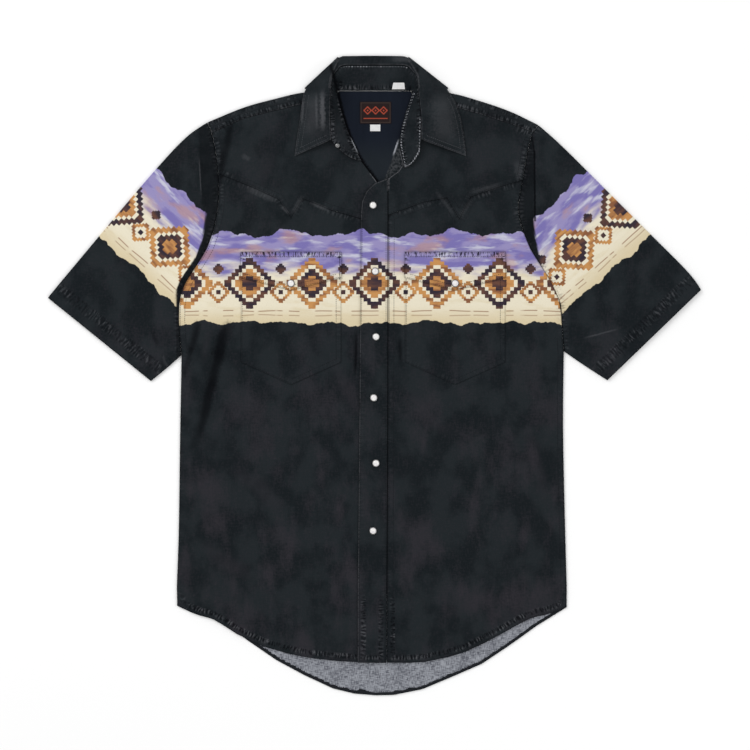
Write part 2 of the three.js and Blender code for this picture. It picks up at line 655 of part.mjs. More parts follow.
// The leaf leaves its seam, rolls over and runs to its outer edge. The fall
// sags between its roll and its edge where it hangs from the stand.
const FALL_SAG = 2.2;
function leafSection({ seam, top, bend, edge }) {
  const leave = top.clone().sub(seam).normalize();
  const arrive = edge.clone().sub(bend).normalize();
  const reach = top.distanceTo(bend);
  const angle = leave.angleTo(arrive);
  const handle = reach * (4 / 3) * Math.tan(angle / 4) / (2 * Math.sin(Math.max(angle, 0.1) / 2));
  const roll = new THREE.CubicBezierCurve3(
    top, top.clone().addScaledVector(leave, handle), bend.clone().addScaledVector(arrive, -handle), bend);
  const start = seam.clone().addScaledVector(leave, SEAM_GAP);
  const belly = FALL_SAG * smoothstep(8, 20, bend.z - edge.z);
  const fall = [0.25, 0.5, 0.75, 1].map((t) => (
    bend.clone().lerp(edge, t).add(point(0, 0, belly * Math.sin(t * Math.PI)))));
  return [start, start.clone().lerp(top, 0.5), ...roll.getPoints(6), ...fall];
}

const sections = collarSections();
// The stand runs on past the leaf at its left end
const LEFT_END = { neck: point(41, 287, 5.5), seam: point(63.5, 309, 11) };
function standSection(section, i) {
  const { neck, seam } = i === sections.length - 1 ? LEFT_END : section;
  const fromEnd = Math.min(i, sections.length - 1 - i);
  const forward = fromEnd === 0 ? 6 : fromEnd === 1 ? 2 : 0;
  const end = seam.clone().addScaledVector(neck.clone().sub(seam).normalize(), SEAM_GAP);
  return steps(5).map((t) => neck.clone().lerp(end, t).add(point(0, -forward * Math.sin(t * Math.PI))));
}
const standGrid = sections.map(standSection);
add('collar_stand', bentWall(standGrid, COLLAR_CLOTH), COLOURS.cloth);
add('collar_leaf', bentWall(sections.map(leafSection), COLLAR_CLOTH), COLOURS.cloth);

// Pockets and flaps, made from the front's points
const pocketLift = (x, y) => frontLift(x, y) + CLOTH + GAP;
const flapLift = (x, y) => pocketLift(x, y) + TRIM_CLOTH + GAP;
function pointed(centre, { width, side, point: tip, top }, rows, lift) {
  const edge = (u) => mix(side, tip, 1 - Math.abs(2 * u - 1));
  const grid = steps(rows).map((v) => steps(12).map((u) => point(
    centre + (u - 0.5) * width, top - edge(u) * (1 - v))));
  return layer(grid, lift, TRIM_CLOTH);
}
for (const side of ['right', 'left']) {
  add(`pocket_${side}`, pointed(POCKET_CENTRE[side], POCKET, 8, pocketLift), COLOURS.cloth);
  add(`flap_${side}`, pointed(POCKET_CENTRE[side], FLAP, 3, flapLift), COLOURS.cloth);
}

// Snaps: a pearl in a metal ring
function snap(name, x, y, z, size = SNAP_SIZE, height = SNAP_HEIGHT, colour = COLOURS.pearl) {
  const profile = SNAP_PROFILE.map((row) => new THREE.Vector2(row.radius * size / 2, row.height * height));
  const geometry = new THREE.LatheGeometry(profile, 12).rotateX(Math.PI / 2);
  const mesh = add(name, geometry, colour, 0.25, 0.1);
  mesh.position.set(x, y, z);
  return mesh;
}
SNAPS.forEach((row, i) => snap(`snap_${i + 1}`, row.x, row.y, bandLift(row.x, row.y) + BAND_CLOTH + GAP));
for (const side of ['right', 'left']) {
  const [x, y] = [POCKET_CENTRE[side], 127.5];
  snap(`flap_snap_${side}`, x, y, flapLift(x, y) + TRIM_CLOTH + GAP);
}

// Small snap half near the end of the stand
const studAt = standGrid[0][4].clone().lerp(standGrid[1][4], 0.3);
const studNormal = normals(standGrid)[1][4];
if (studNormal.z < 0) studNormal.negate();
const stud = snap('stand_stud', 0, 0, 0, STUD.size, STUD.height, COLOURS.metal);
stud.position.copy(studAt).addScaledVector(studNormal, COLLAR_CLOTH / 2 + 2 * GAP);
stud.quaternion.setFromUnitVectors(point(0, 0, 1), studNormal);

// Labels: two on the lining, one at the base of the stand
for (const [name, colour] of [['neck', COLOURS.label], ['size', COLOURS.tab]]) {
  const { x, y } = LABELS[name];
  const outline = [point(x[0], y[0]), point(x[1], y[0]), point(x[1], y[1]), point(x[0], y[1])];
  add(`${name}_label`, plate(outline, CLOTH + LINING_CLOTH + 2 * GAP, LABEL_CLOTH), colour);
}
const careOutline = [point(24, 395), point(42, 395), point(41, 404), point(26, 404)];
add('care_label', plate(careOutline, STAND_Z + COLLAR_CLOTH / 2 + GAP, LABEL_CLOTH), COLOURS.tab);

export default shirt;
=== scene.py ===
"""Builds the looks of a western snap shirt, laid flat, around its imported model.

Run as a script in Blender 4.5. Tables are in millimetres and meshes in metres. "right" and
"left" are the wearer's, so the right side has negative X.
"""

import math

import bmesh
import bpy
from mathutils import Matrix, Vector, noise
from mathutils.bvhtree import BVHTree
from mathutils.kdtree import KDTree


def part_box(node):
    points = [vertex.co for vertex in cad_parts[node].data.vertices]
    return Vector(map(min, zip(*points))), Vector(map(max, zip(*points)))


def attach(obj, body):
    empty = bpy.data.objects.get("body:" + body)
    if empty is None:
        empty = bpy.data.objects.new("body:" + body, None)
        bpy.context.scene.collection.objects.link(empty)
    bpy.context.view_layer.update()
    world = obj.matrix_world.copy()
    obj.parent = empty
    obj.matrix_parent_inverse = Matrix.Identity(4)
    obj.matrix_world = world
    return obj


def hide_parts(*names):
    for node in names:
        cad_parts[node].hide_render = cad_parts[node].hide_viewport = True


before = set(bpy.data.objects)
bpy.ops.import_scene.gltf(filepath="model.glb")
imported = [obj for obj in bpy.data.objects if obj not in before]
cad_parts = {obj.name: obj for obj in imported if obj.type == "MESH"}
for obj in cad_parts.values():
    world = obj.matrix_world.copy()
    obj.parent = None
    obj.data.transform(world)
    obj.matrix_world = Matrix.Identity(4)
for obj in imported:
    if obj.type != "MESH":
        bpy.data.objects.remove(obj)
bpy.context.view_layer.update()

bl_info = {
    "name": "Western snap shirt",
    "version": (1, 0, 0),
    "blender": (4, 5, 0),
    "location": "3D View > Sidebar > Shirt",
    "description": "Cloth, print, sewing, snaps and stage of a western snap shirt laid flat",
    "category": "Object",
}

MM = 0.001
DOWN = Vector((0.0, 0.0, -1.0))
ABOVE = 0.2
RIM_STEP = 0.5 * MM
THICKEST_WALL = 2.6 * MM
SOFT_CORNER = math.radians(24)
SHARP_CORNER = math.radians(55)


def srgb(red, green, blue):
    """A colour given as 0 to 255 screen values, as the linear values that nodes take."""
    values = []
    for value in (red / 255, green / 255, blue / 255):
        low = value / 12.92
        high = ((value + 0.055) / 1.055) ** 2.4
        values.append(low if value <= 0.04045 else high)
    return (*values, 1.0)


def length(name, description, default):
    """A length property, given in millimetres and kept in metres."""
    return bpy.props.FloatProperty(
        name=name, description=description, default=default * MM, min=0.0, unit="LENGTH"
    )


def colour(name, description, *screen):
    """A colour property, given as 0 to 255 screen values."""
    return bpy.props.FloatVectorProperty(
        name=name, description=description, default=srgb(*screen), size=4, subtype="COLOR", min=0, max=1
    )


class ShirtSizes(bpy.types.PropertyGroup):
    """Sizes that a user would change"""

    body_cell: length("Body cell", "Mesh cell of the large panels", 2.8)
    trim_cell: length("Trim cell", "Mesh cell of the band, pockets and flaps", 1.8)
    tail_cell: length("Back cell", "Mesh cell of the back panel", 3.8)
    tail_hem: length("Tail hem", "Width of the turned hem inside the tail", 6.4)
    stitch: length("Stitch", "Length of one stitch", 2.4)
    stitch_gap: length("Stitch gap", "Gap between stitches", 0.8)
    bold_stitch: length("Bold stitch", "Length of one worn stitch of the collar's roll", 1.8)
    bold_gap: length("Bold gap", "Gap between worn stitches of the collar's roll", 2.2)
    thread: length("Thread", "Thickness of the sewing thread", 0.75)
    grey_thread: length("Grey thread", "Thickness of the rubbed thread of the collar's edges", 0.6)
    pale_thread: length("Pale thread", "Thickness of the worn thread of the collar's roll", 1.4)
    band_top: length("Band top", "Height of the printed band's upper edge", 198.0)
    band_bottom: length("Band bottom", "Height of the printed band's lower edge", 71.0)
    weave: length("Weave", "Distance between two twill ridges", 0.9)


class ShirtColours(bpy.types.PropertyGroup):
    """Colours that a user would change"""

    black: colour("Black", "Washed black of the cloth", 22, 27, 30)
    slate: colour("Slate", "Lighter patches of the black", 34, 39, 42)
    # faded is also the painted highlight on crease ridges
    faded_and_highlight: colour("Faded", "Warm grey fade of the cloth", 46, 44, 49)
    shadow: colour("Shadow", "Depth of creases and seams", 6, 7, 10)
    # worn is also the colour of the painted highlight along a sleeve's fold edge
    worn: colour("Worn", "Rubbed seams and edges", 98, 99, 103)
    wrong_side: colour("Wrong side", "Light threads of the cloth's wrong side", 148, 151, 158)
    wrong_dark: colour("Wrong side dark", "Dark threads of the cloth's wrong side", 84, 86, 94)
    lining: colour("Lining", "Inner yoke", 26, 31, 41)
    thread: colour("Thread", "Sewing thread", 30, 32, 36)
    grey_thread: colour("Grey thread", "Rubbed sewing thread of the collar's edges", 82, 84, 88)
    pale_thread: colour("Pale thread", "Worn sewing thread of the collar", 150, 152, 158)
    lavender: colour("Lavender", "Upper half of the printed band", 144, 136, 180)
    violet: colour("Violet", "Deeper patches of the upper half", 118, 110, 168)
    cloud: colour("Cloud", "Pale patches of the band", 202, 203, 214)
    cream: colour("Cream", "Lower half of the printed band", 222, 214, 192)
    sand: colour("Sand", "Lower edge of the printed band", 204, 188, 152)
    tan: colour("Tan", "Light motifs", 190, 138, 84)
    umber: colour("Umber", "Shade of the light motifs, and thin lines", 132, 88, 62)
    charcoal: colour("Charcoal", "Dark motifs", 50, 44, 54)
    pearl: colour("Pearl", "Snap caps", 236, 235, 230)
    nickel: colour("Nickel", "Snap rings and the stud", 150, 150, 150)
    label: colour("Label", "Woven neck label", 30, 23, 24)
    label_thread: colour("Label thread", "Ornament of the neck label", 150, 66, 50)
    tab: colour("Tab", "White satin tabs", 226, 226, 224)


class StageSettings(bpy.types.PropertyGroup):
    """Camera and light"""

    camera_height: length("Camera height", "Height of the camera above the floor", 2600)
    view_width: length("View width", "Width of floor that the camera sees", 1035)
    view_x: bpy.props.FloatProperty(name="View X", description="Middle of the view", default=0.7 * MM)
    view_y: bpy.props.FloatProperty(name="View Y", description="Middle of the view", default=1.4 * MM)
    key: bpy.props.FloatProperty(name="Key", description="Power of the key light", default=26, unit="POWER")
    sky: bpy.props.FloatProperty(name="Sky", description="Strength of the even light", default=0.78)


def sizes():
    return bpy.context.scene.shirt_sizes


def colours():
    return bpy.context.scene.shirt_colours


# Helpers that add shader nodes


class Wire:
    """A value in a node tree. Arithmetic on it adds Math nodes."""

    def __init__(self, board, socket):
        self.board = board
        self.socket = socket

    def __add__(self, other):
        return self.board.math("ADD", self, other)

    def __radd__(self, other):
        return self.board.math("ADD", other, self)

    def __sub__(self, other):
        return self.board.math("SUBTRACT", self, other)

    def __rsub__(self, other):
        return self.board.math("SUBTRACT", other, self)

    def __mul__(self, other):
        return self.board.math("MULTIPLY", self, other)

    def __rmul__(self, other):
        return self.board.math("MULTIPLY", other, self)

    def __truediv__(self, other):
        return self.board.math("DIVIDE", self, other)


class Board:
    """Adds nodes to a node tree and plugs them together."""

    def __init__(self, tree):
        self.tree = tree

    def add(self, kind, inputs=None, **settings):
        node = self.tree.nodes.new(kind)
        for name, value in settings.items():
            setattr(node, name, value)
        for name, value in (inputs or {}).items():
            self.plug(node.inputs[name], value)
        return node

    def plug(self, socket, value):
        if isinstance(value, Wire):
            self.tree.links.new(value.socket, socket)
        else:
            socket.default_value = value

    def wire(self, node, output=0):
        return Wire(self, node.outputs[output])

    def math(self, operation, *values):
        return self.wire(self.add("ShaderNodeMath", dict(enumerate(values)), operation=operation))

    def smooth(self, value, low, high):
        """0 below low, 1 above high, and a soft step between."""
        inputs = {"Value": value, "From Min": low, "From Max": high}
        return self.wire(self.add("ShaderNodeMapRange", inputs, interpolation_type="SMOOTHSTEP"))

    def vector(self, operation, *values, output=0):
        node = self.add("ShaderNodeVectorMath", dict(enumerate(values)), operation=operation)
        return self.wire(node, output)

    def split(self, vector):
        node = self.add("ShaderNodeSeparateXYZ", {0: vector})
        return [self.wire(node, i) for i in range(3)]

    def join(self, x=0.0, y=0.0, z=0.0):
        return self.wire(self.add("ShaderNodeCombineXYZ", {0: x, 1: y, 2: z}))

    def noise(self, x, y, detail=2.0, z=None):
        """Soft noise, from 0 to 1, with one bump for each unit of x and y."""
        place = self.join(x, y, 0.0 if z is None else z)
        inputs = {"Vector": place, "Scale": 1.0, "Detail": detail}
        dimensions = "2D" if z is None else "3D"
        return self.wire(self.add("ShaderNodeTexNoise", inputs, noise_dimensions=dimensions))

    def mix(self, factor, first, second):
        node = self.add("ShaderNodeMix", {0: factor, 6: first, 7: second}, data_type="RGBA")
        return self.wire(node, 2)

    def attribute(self, name):
        return self.wire(self.add("ShaderNodeAttribute", attribute_name=name), 2)

    def group(self, tree, inputs):
        node = self.add("ShaderNodeGroup", node_tree=tree)
        for name, value in inputs.items():
            self.plug(node.inputs[name], value)
        return {socket.name: Wire(self, socket) for socket in node.outputs}


def shader_group(name, inputs, outputs, build):
    """A shader node group with named sockets, built the first time it is asked for."""
    tree = bpy.data.node_groups.get(name)
    if tree:
        return tree
    tree = bpy.data.node_groups.new(name, "ShaderNodeTree")
    for way, sockets in (("INPUT", inputs), ("OUTPUT", outputs)):
        for socket, kind in sockets.items():
            tree.interface.new_socket(name=socket, in_out=way, socket_type="NodeSocket" + kind)
    board = Board(tree)
    entry = board.add("NodeGroupInput")
    made = build(board, **{socket.lower(): board.wire(entry, i) for i, socket in enumerate(inputs)})
    board.add("NodeGroupOutput", made)
    return tree


# Node groups that several materials use


def weave_nodes(board, place, pitch):
    x, y, _ = board.split(place)
    ridge = board.math("ABSOLUTE", board.math("FRACT", (x + y) / pitch) - 0.5) * 2.0
    threads = board.noise(x * 3.0, y * 3.0, 1.0)
    slub = board.noise(x * 0.5, y * 4.0, 2.0)
    return {"Height": ridge * 0.5 + threads * 0.5, "Tone": threads * 0.5 + slub * 0.5}


def weave_group():
    """Ridges of the twill, from a place in millimetres."""
    inputs = {"Place": "Vector", "Pitch": "Float"}
    return shader_group("Twill weave", inputs, {"Height": "Float", "Tone": "Float"}, weave_nodes)


def fade_nodes(board, place):
    x, y, _ = board.split(place)
    clouds = board.noise(x / 62.0, y / 95.0, 4.0)
    streaks = board.noise(x / 21.0, y / 64.0, 4.0)
    specks = board.noise(x / 2.6, y / 3.2, 3.0)
    threads = board.noise(x / 2.0, y / 9.0, 2.0) + board.noise(x / 9.0, y / 2.0, 2.0)
    low = board.smooth(y, 150.0, -170.0)
    blotches = board.smooth(clouds * 0.6 + streaks * 0.4, 0.44, 0.68)
    mask = blotches * (low * 0.5 + 0.2) + (specks - 0.5) * 0.7 + (threads - 1.0) * 0.5
    tone = board.noise(x / 38.0 + 9.0, y / 47.0, 4.0)
    return {"Mask": mask, "Tone": board.smooth(tone, 0.36, 0.64), "Dips": clouds * 0.6 + streaks * 0.4}


def fade_group():
    """Where washing has faded the cloth, from a place in millimetres."""
    outputs = {"Mask": "Float", "Tone": "Float", "Dips": "Float"}
    return shader_group("Wash fade", {"Place": "Vector"}, outputs, fade_nodes)


def seam_nodes(board, edge, along, hem):
    drift = board.noise(along / 13.0, edge / 30.0, 2.0) * 2.6
    tick = board.math("ABSOLUTE", board.math("FRACT", along / 5.2 + drift) - 0.5) * 2.0
    grain = board.noise(along / 3.0, edge / 7.0, 3.0)
    stretches = board.noise(along / 27.0, edge / 12.0, 2.0)
    ropes = tick * 0.35 + grain
    turned = board.math("GREATER_THAN", hem, 1.0)
    plain = board.smooth(edge, 10.0, 3.0) * (1.0 - turned)
    hemmed = board.smooth(edge - hem, 2.5, -0.5) * board.smooth(edge - hem * 0.5, -2.5, 1.5) * turned
    band = board.math("MAXIMUM", plain, hemmed)
    light = band * board.smooth(ropes, 0.62, 1.0) * board.smooth(stretches, 0.36, 0.62)
    # dark is the painted shade between the ropes
    dark = band * board.smooth(ropes, 0.74, 0.48)
    rub = board.smooth(edge, 1.7, 0.3) * board.smooth(grain + stretches, 0.62, 1.2)
    return {"Light": light, "Dark": dark, "Rub": rub, "Height": band * ropes}


def seam_group():
    """Ropes along seams and hems, worn light on top and painted shade between, from distances in
    millimetres.
    """
    inputs = {"Edge": "Float", "Along": "Float", "Hem": "Float"}
    outputs = {"Light": "Float", "Dark": "Float", "Rub": "Float", "Height": "Float"}
    return shader_group("Seam ropes", inputs, outputs, seam_nodes)


def stroke_nodes(board, place, start, way, width, soft, grain):
    offset = board.vector("SUBTRACT", place, start)
    share = board.vector("DOT_PRODUCT", offset, way, output=1)
    share = board.math("DIVIDE", share, board.vector("DOT_PRODUCT", way, way, output=1))
    share = board.math("MINIMUM", board.math("MAXIMUM", share, 0.0), 1.0)
    scaled = board.wire(board.add("ShaderNodeVectorMath", {0: way, "Scale": share}, operation="SCALE"))
    gap = board.vector("LENGTH", board.vector("SUBTRACT", offset, scaled), output=1)
    gap = gap + (grain - 0.5) * width * 0.9
    ends = 1.0 - board.smooth(board.math("ABSOLUTE", share * 2.0 - 1.0), 0.35, 1.0) * soft
    return {"Mask": board.smooth(gap / width, 1.0, 0.1) * ends}


def stroke_group():
    """A stroke with ragged sides from a start along a way, all in millimetres."""
    inputs = {"Place": "Vector", "Start": "Vector", "Way": "Vector", "Width": "Float", "Soft": "Float"}
    inputs["Grain"] = "Float"
    return shader_group("Stroke", inputs, {"Mask": "Float"}, stroke_nodes)


# Painted shade in creases, folds and hollows, and pale streaks that are mostly rubbed wear with one painted
# highlight: material, ends, half width, tone from -1 dark to 1 pale, soft ends
MARK_COLUMNS = ("material", "x1", "y1", "x2", "y2", "width", "tone", "soft")
MARKS = [
    ("twill_body", -24, 71, -27, -6, 2.6, -0.6, 1),
    ("twill_body", 35, 57, 36, 15, 2.6, -0.3, 1),
    ("twill_body", -244, 71, -253, 37, 8.0, -0.45, 0),
    ("twill_body", -253, 37, -262, 3, 6.0, -0.4, 0),
    ("twill_body", -201, 68, -216, 31, 12.0, -0.45, 0),
    ("twill_body", -216, 31, -224, -9, 13.0, -0.45, 0),
    ("twill_body", -224, -9, -237, -52, 11.0, -0.38, 0),
    ("twill_body", -237, -52, -252, -110, 9.0, -0.3, 1),
    ("twill_body", -196, 351, -209, 315, 6.0, -0.45, 1),
    ("twill_body", -209, 330, -213, 250, 4.5, -0.5, 1),
    ("twill_body", -181, 261, -131, 240, 7.0, 0.15, 1),
    ("twill_body", -90, 240, -62, 228, 4.5, 0.2, 1),
    ("twill_body", -98, 250, -114, 222, 4.5, 0.16, 1),
    ("twill_body", -130, 236, -116, 222, 3.5, 0.18, 1),
    ("twill_body", -184, 305, -170, 297, 5.0, 0.14, 1),
    ("twill_body", 125, 252, 182, 265, 6.0, 0.12, 1),
    ("twill_body", 82, 259, 112, 218, 4.0, 0.1, 1),
    ("twill_body", 136, 246, 115, 216, 4.5, 0.1, 1),
    ("twill_body", 196, 300, 199, 268, 7.0, 0.12, 1),
    ("twill_body", -47.9, 170, -47.9, 133, 0.9, -0.85, 0),
    ("twill_sleeve_right", -308, 68, -297, 38, 5.0, -0.35, 1),
    # painted highlight along the right sleeve's fold edge
    ("twill_sleeve_right", -242, 306, -238, 242, 1.4, 0.22, 1),
    ("twill_sleeve_left", 284, 51, 340, 66, 1.8, 0.2, 1),
    ("twill_sleeve_left", 215, 340, 220, 309, 1.8, -0.7, 0),
    ("twill_sleeve_left", 220, 309, 221, 214, 2.2, -0.95, 0),
    ("twill_sleeve_left", 257, 66, 261, 35, 2.2, -0.9, 0),
    ("twill_collar", -71.5, 396, -70.5, 330, 5.0, 0.42, 1),
    ("twill_collar", -80, 392, -79, 335, 2.6, 0.24, 1),
    ("twill_collar", -98.5, 388, -100, 342, 3.2, 0.26, 1),
    ("twill_collar", -86, 392, -84, 322, 22.0, 0.14, 1),
    ("twill_collar", 20, 437, 58, 436, 6.0, 0.2, 1),
    ("twill_collar", 92, 396, 98, 312, 26.0, 0.16, 1),
    ("twill_collar", -61, 430, -51, 392, 4.0, -0.95, 0),
    ("twill_collar", 58, 427, 60, 415, 3.0, -0.8, 1),
    # painted shadow in the hollow of the neck, between the stand and the lining
    ("lining", -50, 391, -44, 364, 3.6, -1.0, 0),
    ("lining", -44, 364, -36, 339, 3.4, -1.0, 0),
    ("lining", -36, 339, -27, 316, 3.4, -1.0, 0),
    ("lining", -27, 316, -16, 294, 4.2, -1.0, 0),
    ("lining", -16, 294, 3, 269, 5.0, -1.0, 0),
    ("lining", -34.5, 331, -22, 305, 1.5, 1.0, 1),
    ("lining", 34, 328, 25, 302, 1.7, 1.0, 1),
]


def marked(board, name, place, cloth, pale):
    """Draws a material's marks over its cloth: painted shade in creases and hollows, and pale streaks."""
    x, y, _ = board.split(place)
    flat = board.join(x, y)
    grain = board.noise(x / 3.0, y / 3.0, 3.0)
    for row in MARKS:
        row = dict(zip(MARK_COLUMNS, row))
        if row["material"] != name:
            continue
        inputs = {
            "Place": flat,
            "Start": (row["x1"], row["y1"], 0.0),
            "Way": (row["x2"] - row["x1"], row["y2"] - row["y1"], 0.0),
            "Width": row["width"],
            "Soft": row["soft"],
            "Grain": grain,
        }
        mask = board.group(stroke_group(), inputs)["Mask"] * abs(row["tone"])
        # negative tones are painted shade in the shadow colour, positive tones take the pale colour
        cloth = board.mix(mask, cloth, pale if row["tone"] > 0 else colours().shadow)
    return cloth


BAND_HALF = 63.5
MOTIF_PITCH = 86.0
MOTIF_STEP = 5.0
SMALL_STEP = 3.0


def stepped(board, x, y, step):
    """How many square steps a point lies from a motif's middle, as woven diamonds count them."""
    across = board.math("FLOOR", board.math("ABSOLUTE", x) / step)
    up = board.math("FLOOR", board.math("ABSOLUTE", y) / step)
    return across + up


def upto(board, value, most):
    return board.math("LESS_THAN", value, most + 0.5)


def print_nodes(board, place):
    tints = colours()
    x, y, _ = board.split(place)
    # a torn-looking border, painted patches above and sand below
    wobble = board.noise(x / 46.0, 3.0, 5.0) - 0.5
    wobble_low = board.noise(x / 50.0, 9.0, 5.0) - 0.5
    top = y - (BAND_HALF - 2.0 + wobble * 42.0)
    bottom = y + (BAND_HALF - 2.0 + wobble_low * 32.0)
    cover = board.smooth(top, 0.5, -0.5) * board.smooth(bottom, -0.5, 0.5)
    brush = board.noise(x / 44.0, y / 13.0, 4.0)
    wash = board.noise(x / 40.0, y / 9.0, 4.0)
    horizon = y + (brush - 0.5) * 46.0
    sky = board.mix(board.smooth(brush, 0.42, 0.62), tints.lavender, tints.violet)
    sky = board.mix(board.smooth(wash, 0.52, 0.72) * 0.75, sky, tints.cloud)
    glow = board.smooth(board.noise(x / 52.0 + 7.0, y / 24.0, 3.0), 0.54, 0.72)
    sky = board.mix(glow * 0.4, sky, tints.tan)
    ground = board.mix(board.smooth(y, -34.0, -62.0) * 0.8, tints.cream, tints.sand)
    ground = board.mix(board.smooth(wash, 0.5, 0.8) * 0.5, ground, tints.sand)
    ink = board.mix(board.smooth(horizon, -2.0, 22.0), ground, sky)
    # rows of stepped diamonds, dark and tan by turns, with small ones between
    unsure = board.noise(x / 2.2, y / 2.2, 2.0) - 0.5
    u = x + unsure * 0.9 + MOTIF_PITCH / 2
    v = y + (board.noise(x / 2.6 + 5.0, y / 2.0, 2.0) - 0.5) * 0.9 + 7.0
    index = board.math("FLOOR", u / MOTIF_PITCH)
    odd = board.math("FLOORED_MODULO", index, 2.0)
    local = u - (index + 0.5) * MOTIF_PITCH
    count = stepped(board, local, v, MOTIF_STEP)
    dark = board.mix(board.smooth(brush, 0.35, 0.7) * 0.5, tints.charcoal, tints.umber)
    light = board.mix(board.smooth(wash, 0.4, 0.65), tints.tan, tints.umber)
    first = board.mix(odd, dark, light)
    second = board.mix(odd, light, dark)
    ink = board.mix(upto(board, count, 6), ink, first)
    ink = board.mix(upto(board, count, 4), ink, tints.cream)
    ink = board.mix(upto(board, count, 3), ink, second)
    ink = board.mix(upto(board, count, 1), ink, first)
    between = u - (board.math("FLOOR", u / MOTIF_PITCH + 0.5)) * MOTIF_PITCH
    small = stepped(board, between, v + 12.0, SMALL_STEP)
    ink = board.mix(upto(board, small, 4), ink, light)
    ink = board.mix(upto(board, small, 2), ink, tints.cream)
    ink = board.mix(upto(board, small, 0), ink, dark)
    cross = stepped(board, between, v - 20.0, 2.4)
    ink = board.mix(upto(board, cross, 2), ink, dark)
    # thin broken lines under the motifs
    dashes = board.smooth(board.noise(x / 26.0, 14.0, 1.0), 0.46, 0.5)
    for height, gain in ((-45.0, 0.7), (-51.0, 0.5)):
        drift = (board.noise(x / 60.0, height, 1.0) - 0.5) * 4.0
        line = board.smooth(board.math("ABSOLUTE", y - height + drift), 1.1, 0.4)
        ink = board.mix(line * dashes * gain, ink, tints.umber)
    # the ink sits on the threads unevenly
    speckle = board.noise(x / 0.9, y / 0.9, 1.0)
    ink = board.mix(board.smooth(speckle, 0.62, 0.85) * 0.22, ink, tints.black)
    return {"Colour": ink, "Cover": cover}


def print_group():
    """The printed band, from a place in millimetres that has the band's middle at 0."""
    outputs = {"Colour": "Color", "Cover": "Float"}
    return shader_group("Printed band", {"Place": "Vector"}, outputs, print_nodes)


def new_material(name):
    """An empty node material, its board and its shader."""
    material = bpy.data.materials.new(name)
    material.use_nodes = True
    board = Board(material.node_tree)
    material.node_tree.nodes.clear()
    shader = board.add("ShaderNodeBsdfPrincipled")
    board.add("ShaderNodeOutputMaterial", {"Surface": board.wire(shader)})
    return material, board, shader


def place_nodes(board, turn=0.0, centre=(0.0, 0.0)):
    """Object coordinates in millimetres, turned and centred in plan."""
    texture = board.add("ShaderNodeTexCoord")
    across = -(math.cos(turn) * centre[0] - math.sin(turn) * centre[1])
    up = -(math.sin(turn) * centre[0] + math.cos(turn) * centre[1])
    inputs = {
        "Vector": board.wire(texture, 3),
        "Location": (across, up, 0.0),
        "Rotation": (0.0, 0.0, turn),
        "Scale": (1 / MM, 1 / MM, 1 / MM),
    }
    return board.wire(board.add("ShaderNodeMapping", inputs))


def bump(board, shader, height, distance, strength=1.0):
    inputs = {"Strength": strength, "Distance": distance, "Height": height}
    board.plug(shader.inputs["Normal"], board.wire(board.add("ShaderNodeBump", inputs)))


def cloth_feel(shader, roughness=0.9, specular=0.04):
    """The plain numbers of a matt cloth."""
    shader.inputs["Roughness"].default_value = roughness
    shader.inputs["Specular IOR Level"].default_value = specular


def band_middle():
    return (sizes().band_top + sizes().band_bottom) / 2 / MM


def twill_material(name, turn=0.0, centre=None):
    """Washed black twill with the printed band, which runs through centre at an angle. Painted shade lies
    in creases, seam grooves, between seam ropes and beside a sleeve's pleat, and a painted highlight lies
    on crease ridges.
    """
    found = bpy.data.materials.get(name)
    if found:
        return found
    material, board, shader = new_material(name)
    tints = colours()
    plain = place_nodes(board)
    band = place_nodes(board, -turn, centre or (0.0, band_middle()))
    edge, fold, wear = (board.attribute(name) for name in ("edge", "fold", "wear"))
    distances = {"Edge": edge, "Along": board.attribute("along"), "Hem": board.attribute("hem")}
    fade = board.group(fade_group(), {"Place": plain})
    weave = board.group(weave_group(), {"Place": plain, "Pitch": sizes().weave / MM})
    seam = board.group(seam_group(), distances)
    printed = board.group(print_group(), {"Place": band})
    cloth = board.mix(fade["Tone"] * 0.8, tints.black, tints.slate)
    cloth = board.mix(fade["Mask"] + board.smooth(weave["Tone"], 0.5, 0.8) * 0.3, cloth, tints.faded_and_highlight)
    # painted highlight on the ridges of creases
    cloth = board.mix(board.smooth(fold, 0.2, 1.0) * 0.3, cloth, tints.faded_and_highlight)
    cloth = board.mix(seam["Light"] * wear * 0.6, cloth, tints.worn)
    cloth = board.mix(seam["Rub"] * board.attribute("rub"), cloth, tints.worn)
    # the strip of a sleeve beside its pleat lies in shade
    shown = board.attribute("printed")
    cloth = board.mix((1.0 - shown) * 0.5, cloth, tints.shadow)
    cloth = board.mix(printed["Cover"] * shown, cloth, printed["Colour"])
    # painted shade between the ropes of seams and hems
    cloth = board.mix(seam["Dark"] * wear, cloth, tints.shadow)
    # painted shade along the edge of each piece, in its seam groove
    cloth = board.mix(board.smooth(edge, 1.5, 0.2) * board.attribute("groove"), cloth, tints.shadow)
    # painted shade in the troughs of creases
    cloth = board.mix(board.smooth(fold, -0.15, -1.0) * 0.6, cloth, tints.shadow)
    # pale marks take the worn colour: rubbed streaks, and a painted highlight on a sleeve's fold edge
    board.plug(shader.inputs["Base Color"], marked(board, name, plain, cloth, tints.worn))
    cloth_feel(shader)
    height = weave["Height"] * 0.35 + fade["Dips"] * 1.2 + seam["Height"] * wear * 2.0
    bump(board, shader, height, 0.25 * MM)
    return material


